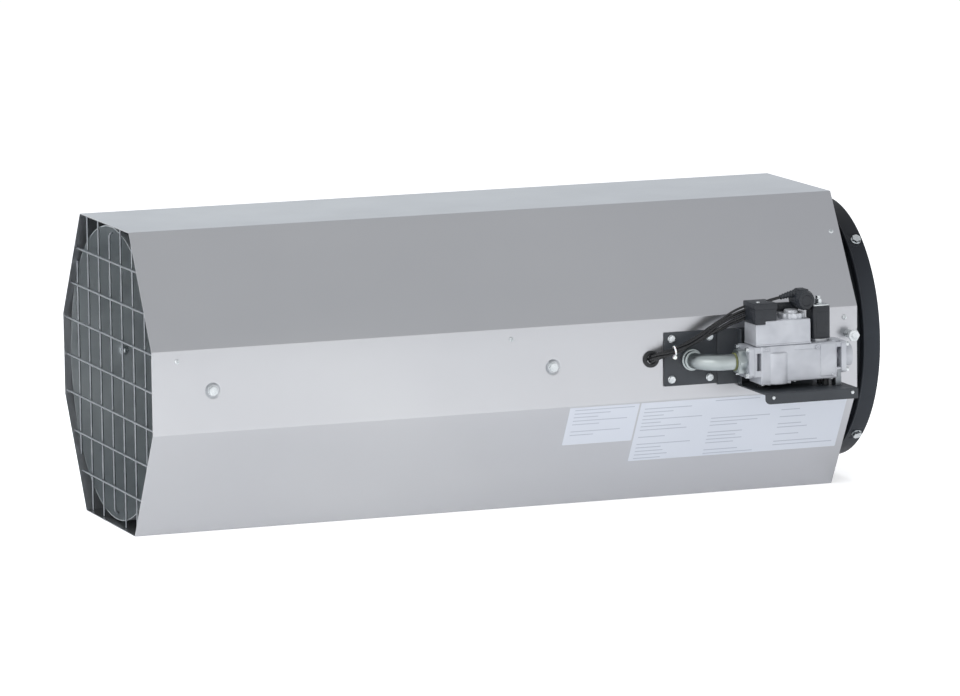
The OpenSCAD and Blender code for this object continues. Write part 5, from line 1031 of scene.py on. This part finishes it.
bladeSet = {"count": 7, "pitch": 36, "chord": 58, "thick": 2.5, "camber": 0.09, "x": 567, "root": 63.5, "tip": 187.8,
    "round": 14, "hub": (62.1, 66, 543, 591)}
f = bladeSet
share = np.linspace(-1, 1, 21)
edge = np.concatenate([np.stack([share, 0 * share + 1], 1), np.stack([share[::-1], 0 * share - 1], 1)])
roundFrom = f["tip"] - f["round"]
rho = np.concatenate([[f["root"]], np.linspace(f["root"] + 4, roundFrom, 12),
    f["tip"] - f["round"] * (1 - np.sin(np.linspace(0.15, math.pi / 2, 9)))])
cut = np.clip((rho - roundFrom) / f["round"], 0, 1)
half = (f["chord"] / 2 - f["round"] * (1 - np.sqrt(1 - 0.98 * cut ** 2)))[:, None]
arch = f["chord"] * f["camber"] * (1 - (edge[:, 0] * half / (f["chord"] / 2)) ** 2)
thin = f["thick"] / 2 * np.sqrt(np.clip(1 - 0.9 * edge[:, 0] ** 8, 0, 1))
turnBy = math.radians(90 - f["pitch"])
chordwise, lift = edge[:, 0] * half, arch + edge[:, 1] * thin
bladeT = chordwise * math.sin(turnBy) + lift * math.cos(turnBy)
bladePoints = np.stack([f["x"] + chordwise * math.cos(turnBy) - lift * math.sin(turnBy), bladeT,
    np.sqrt(rho[:, None] ** 2 - bladeT ** 2)], -1)
bladePatch = gridSurface(bladePoints)
bladePatch[1].append(endFaces(*bladePoints.shape[:2]))
blades = [ringPlace(bladePatch, 360 * i / f["count"]) for i in range(f["count"])]
blades.append(standPatch(hoop(*f["hub"], 0.9, 96), (0, 0, axisZ), (1, 0, 0)))
makePiece("fanBlades", blades, "blade_paint", "fan_blades", body="fan", crease=50)

guardSet = {"r": 205.7, "wire": 1.5, "cells": 9, "x": 627.2, "edge": 6}
f = guardSet
offs = [(i - f["cells"] / 2) * 2 * f["r"] / f["cells"] for i in range(1, f["cells"])]
guardPatches = []
backX = f["x"] - 2 * f["wire"] - 0.1
for off in offs:
    reach = math.sqrt(f["r"] ** 2 - (abs(off) + f["wire"]) ** 2)
    guardPatches += [roundedRod((f["x"], -reach, axisZ + off), (f["x"], reach, axisZ + off), f["wire"]),
        roundedRod((backX, off, axisZ - reach), (backX, off, axisZ + reach), f["wire"])]
    guardPatches += [standPatch(ball, (f["x"] - f["wire"], other, axisZ + off), (1, 0, 0))
        for other in offs if math.hypot(off, other) < f["r"] - f["edge"]]
# the guard shares the ring's finish and its painted shade towards the top
makePiece("guardWires", guardPatches, "black_ring", "fan_guard")

armSet = {"x": 606, "thick": 4, "hub": 56, "wide": 26, "in": 48, "out": 205.49, "tab": 3, "tabLong": 19}
f = armSet
x0, x1, w, out = f["x"], f["x"] + f["thick"], f["wide"] / 2, f["out"]
armHub = turnedSoft([(0, 0), (f["hub"], 0), (f["hub"], f["thick"]), (44, f["thick"]), (42, f["thick"] + 1),
    (0, f["thick"] + 1)], [0, 0.8, 0.8, 1, 0.8, 0], 72)
arm = softBoxes(((x0, -w, f["in"]), (x1, w, out), 0.9), ((x0, -w, out - f["tab"]), (x0 + f["tabLong"], w, out), 0.8),
    ((x1 - 1, -w / 3, 62), (x1 + 0.9, w / 3, out - 18), 0.9))
armPatches = [standPatch(armHub, (x0, 0, axisZ), (1, 0, 0))]
armPatches += [ringPlace(patch, a) for a in ringSet["boltAngles"] for patch in arm]
makePiece("motorArms", armPatches, nodeSlot["fan_arms"], "fan_arms")
print("fan end made")


# ---- control box fittings
boxSet = {"x": (141, 361), "z": (175, 295), "face": 317, "in": 8, "screw": 3.6, "screwHigh": 1.7, "shank": 2,
    "screwLong": 10, "buttonAt": (321, 311, 255), "button": 8, "buttonHigh": 11, "flange": 11, "glandAt": (181, 273),
    "glandZ": (151, 187), "gland": (6, 8, 10), "glandNuts": ((-6, 22, 6), (3, 20, 4))}
b = boxSet
lidScrews = []
for x in (b["x"][0] + b["in"], b["x"][1] - b["in"]):
    for z in (b["z"][0] + b["in"], b["z"][1] - b["in"]):
        lidScrews += [standPatch(crossHead(b["screw"], b["screwHigh"]), (x, b["face"], z), (0, 1, 0), (0.4, 0, 1)),
            roundedRod((x, b["face"] - b["screwLong"], z), (x, b["face"] + 0.4, z), b["shank"])]
makePiece("lidScrewSet", lidScrews, "bright_fasteners", "lid_screws")
buttonOutline = [(0, -6), (3, -6), (3, 0), (b["flange"], 0), (b["flange"], 2), (b["button"], 2),
    (b["button"], b["buttonHigh"]), (0, b["buttonHigh"] - 0.9)]
buttonPatch = turnedSoft(buttonOutline, [0, 0.5, 0.3, 0.4, 0.4, 0.3, 1.4, 0], 48)
makePiece("resetButton", [standPatch(buttonPatch, b["buttonAt"], (0, 1, 0))], "reset_red", "reset_button",
    body="button")
bore, thread, mouth = b["gland"]
z0, z1 = b["glandZ"]
glandLoop = [(bore, z0), (mouth, z0), (mouth, z0 + 7), (thread, z0 + 12), (thread, z1), (bore, z1)]
glandPatches = [turnedRing(glandLoop, [0.8, 1.2, 1.5, 0.5, 0.4, 0.4], 48)]
glandPatches += [lifted(hexNut(flats, high, thread - 0.2), b["z"][0] + low) for low, flats, high in b["glandNuts"]]
makePiece("cableGland", standAll(glandPatches, (*b["glandAt"], 0)), nodeSlot["cable_gland"], "cable_gland")

# CAD pieces kept as they are get softened rims
rimWidths = {"outlet_flange": 0.9, "inlet_flange": 0.9, "end_plate": 0.4, "control_box": 1.2, "motor_stator": 1.5,
    "motor_rotor": 1.2, "motor_shaft": 0.5, "burner_head": 1.2, "burner_controller": 1.5, "ignition_transformer": 1.5,
    "terminal_strip": 0.6}
for nodeName, width in rimWidths.items():
    modifiers = cadNodes[nodeName].modifiers
    modifiers.new("joined", "WELD").merge_threshold = 0.00001
    rims = modifiers.new("softRims", "BEVEL")
    rims.width, rims.segments, rims.limit_method, rims.angle_limit = width * metre, 2, "ANGLE", math.radians(40)
    rims.harden_normals = False
print("fittings made")


# ---- floor, light and background
stageSet = {"floorTone": (240, 241, 243), "floorDrop": -0.0005, "floorX": 40, "floorY": (-40, 60), "floorRough": 0.9,
    "floorSeen": 0.5, "floorMirrored": 0.17, "worldHigh": 0.64, "worldDiffuse": 0.62, "lowSky": (0.9, 0.94, 1, 1),
    "highSky": (0.99, 0.993, 1, 1), "behindSky": (0.8, 0.845, 0.885, 1)}
e = stageSet
floorMesh = bpy.data.meshes.new("studioFloor")
(nearY, farY), wideX = e["floorY"], e["floorX"]
floorMesh.from_pydata([(-wideX, nearY, 0), (wideX, nearY, 0), (wideX, farY, 0), (-wideX, farY, 0)], [],
    [(0, 1, 2, 3)])
studioFloor = addObject("studioFloor", floorMesh)
studioFloor.location = (0, 0, e["floorDrop"])
floorLook, tree, floorShader = newMaterial("paleFloor")
path = addNode(tree, "LightPath").outputs
mirrored = calc(tree, "MAXIMUM", path["Is Glossy Ray"], path["Is Transmission Ray"])
mirrored = calc(tree, "MULTIPLY", mirrored, e["floorMirrored"])
glow = calc(tree, "MULTIPLY_ADD", path["Is Camera Ray"], e["floorSeen"], mirrored)
for key, value in {"Base Color": shade(e["floorTone"]), "Roughness": e["floorRough"], "Specular IOR Level": 0.0,
        "Emission Color": (1, 1, 1, 1), "Emission Strength": glow}.items():
    feed(tree, floorShader.inputs[key], value)
floorMesh.materials.append(floorLook)

# The sky is cooler low down, and greyer behind the object in mirror rays
world = bpy.data.worlds.new("studioWorld")
scene.world = world
world.use_nodes = True
tree = world.node_tree
backdrop = findNode(tree, "BACKGROUND")
path = addNode(tree, "LightPath").outputs
seen = calc(tree, "ADD", path["Is Camera Ray"], path["Is Glossy Ray"])
seen = calc(tree, "ADD", seen, path["Is Transmission Ray"], use_clamp=True)
sky = addNode(tree, "SeparateXYZ", {0: addNode(tree, "TexCoord").outputs["Generated"]}).outputs
rise = ranged(tree, sky["Z"], 0.28, 0.72, 1.0, e["worldHigh"], interpolation_type="SMOOTHSTEP")
strength = addNode(tree, "Mix", {0: seen, 2: e["worldDiffuse"], 3: rise}).outputs[0]
behind = calc(tree, "MULTIPLY", ranged(tree, sky["Y"], 0.3, 0.9), path["Is Glossy Ray"])
skyTone = mixColour(tree, behind, mixColour(tree, rise, e["lowSky"], e["highSky"]), e["behindSky"])
feed(tree, backdrop.inputs["Strength"], strength)
feed(tree, backdrop.inputs["Color"], skyTone)

# Panels, each with its place, aim, size and watts, and whether mirrors show it
lampTone = (1.0, 0.995, 0.985)
lampSet = {
    "keyPanel": ((-3.6, -3.2, 2.4), (0, 0, 0.25), (4.2, 3.2), 154, False),
    "keyGlow": ((-3.65, -3.25, 2.42), (0, 0, 0.25), (4.2, 3.2), 36, True),
    "overPanel": ((0.2, 1.3, 3.6), (0, 0, 0.3), (3.0, 1.6), 48, False),
    "rightPanel": ((3.8, -2.2, 1.5), (0.3, 0, 0.25), (3.2, 2.8), 50, False),
}
for lampName, (place, aim, size, watts, shown) in lampSet.items():
    data = bpy.data.lights.new(lampName, "AREA")
    data.shape = "RECTANGLE"
    data.size, data.size_y = size
    data.energy, data.color = watts, lampTone
    source = addObject(lampName, data)
    source.visible_glossy = shown
    back = unit(np.array(place, float) - aim)
    side = unit(np.cross((0, 0, 1), back))
    source.matrix_world = placeMatrix(side, np.cross(back, side), back, place)
scene.view_settings.view_transform = "Standard"
print("stage and lamps set")
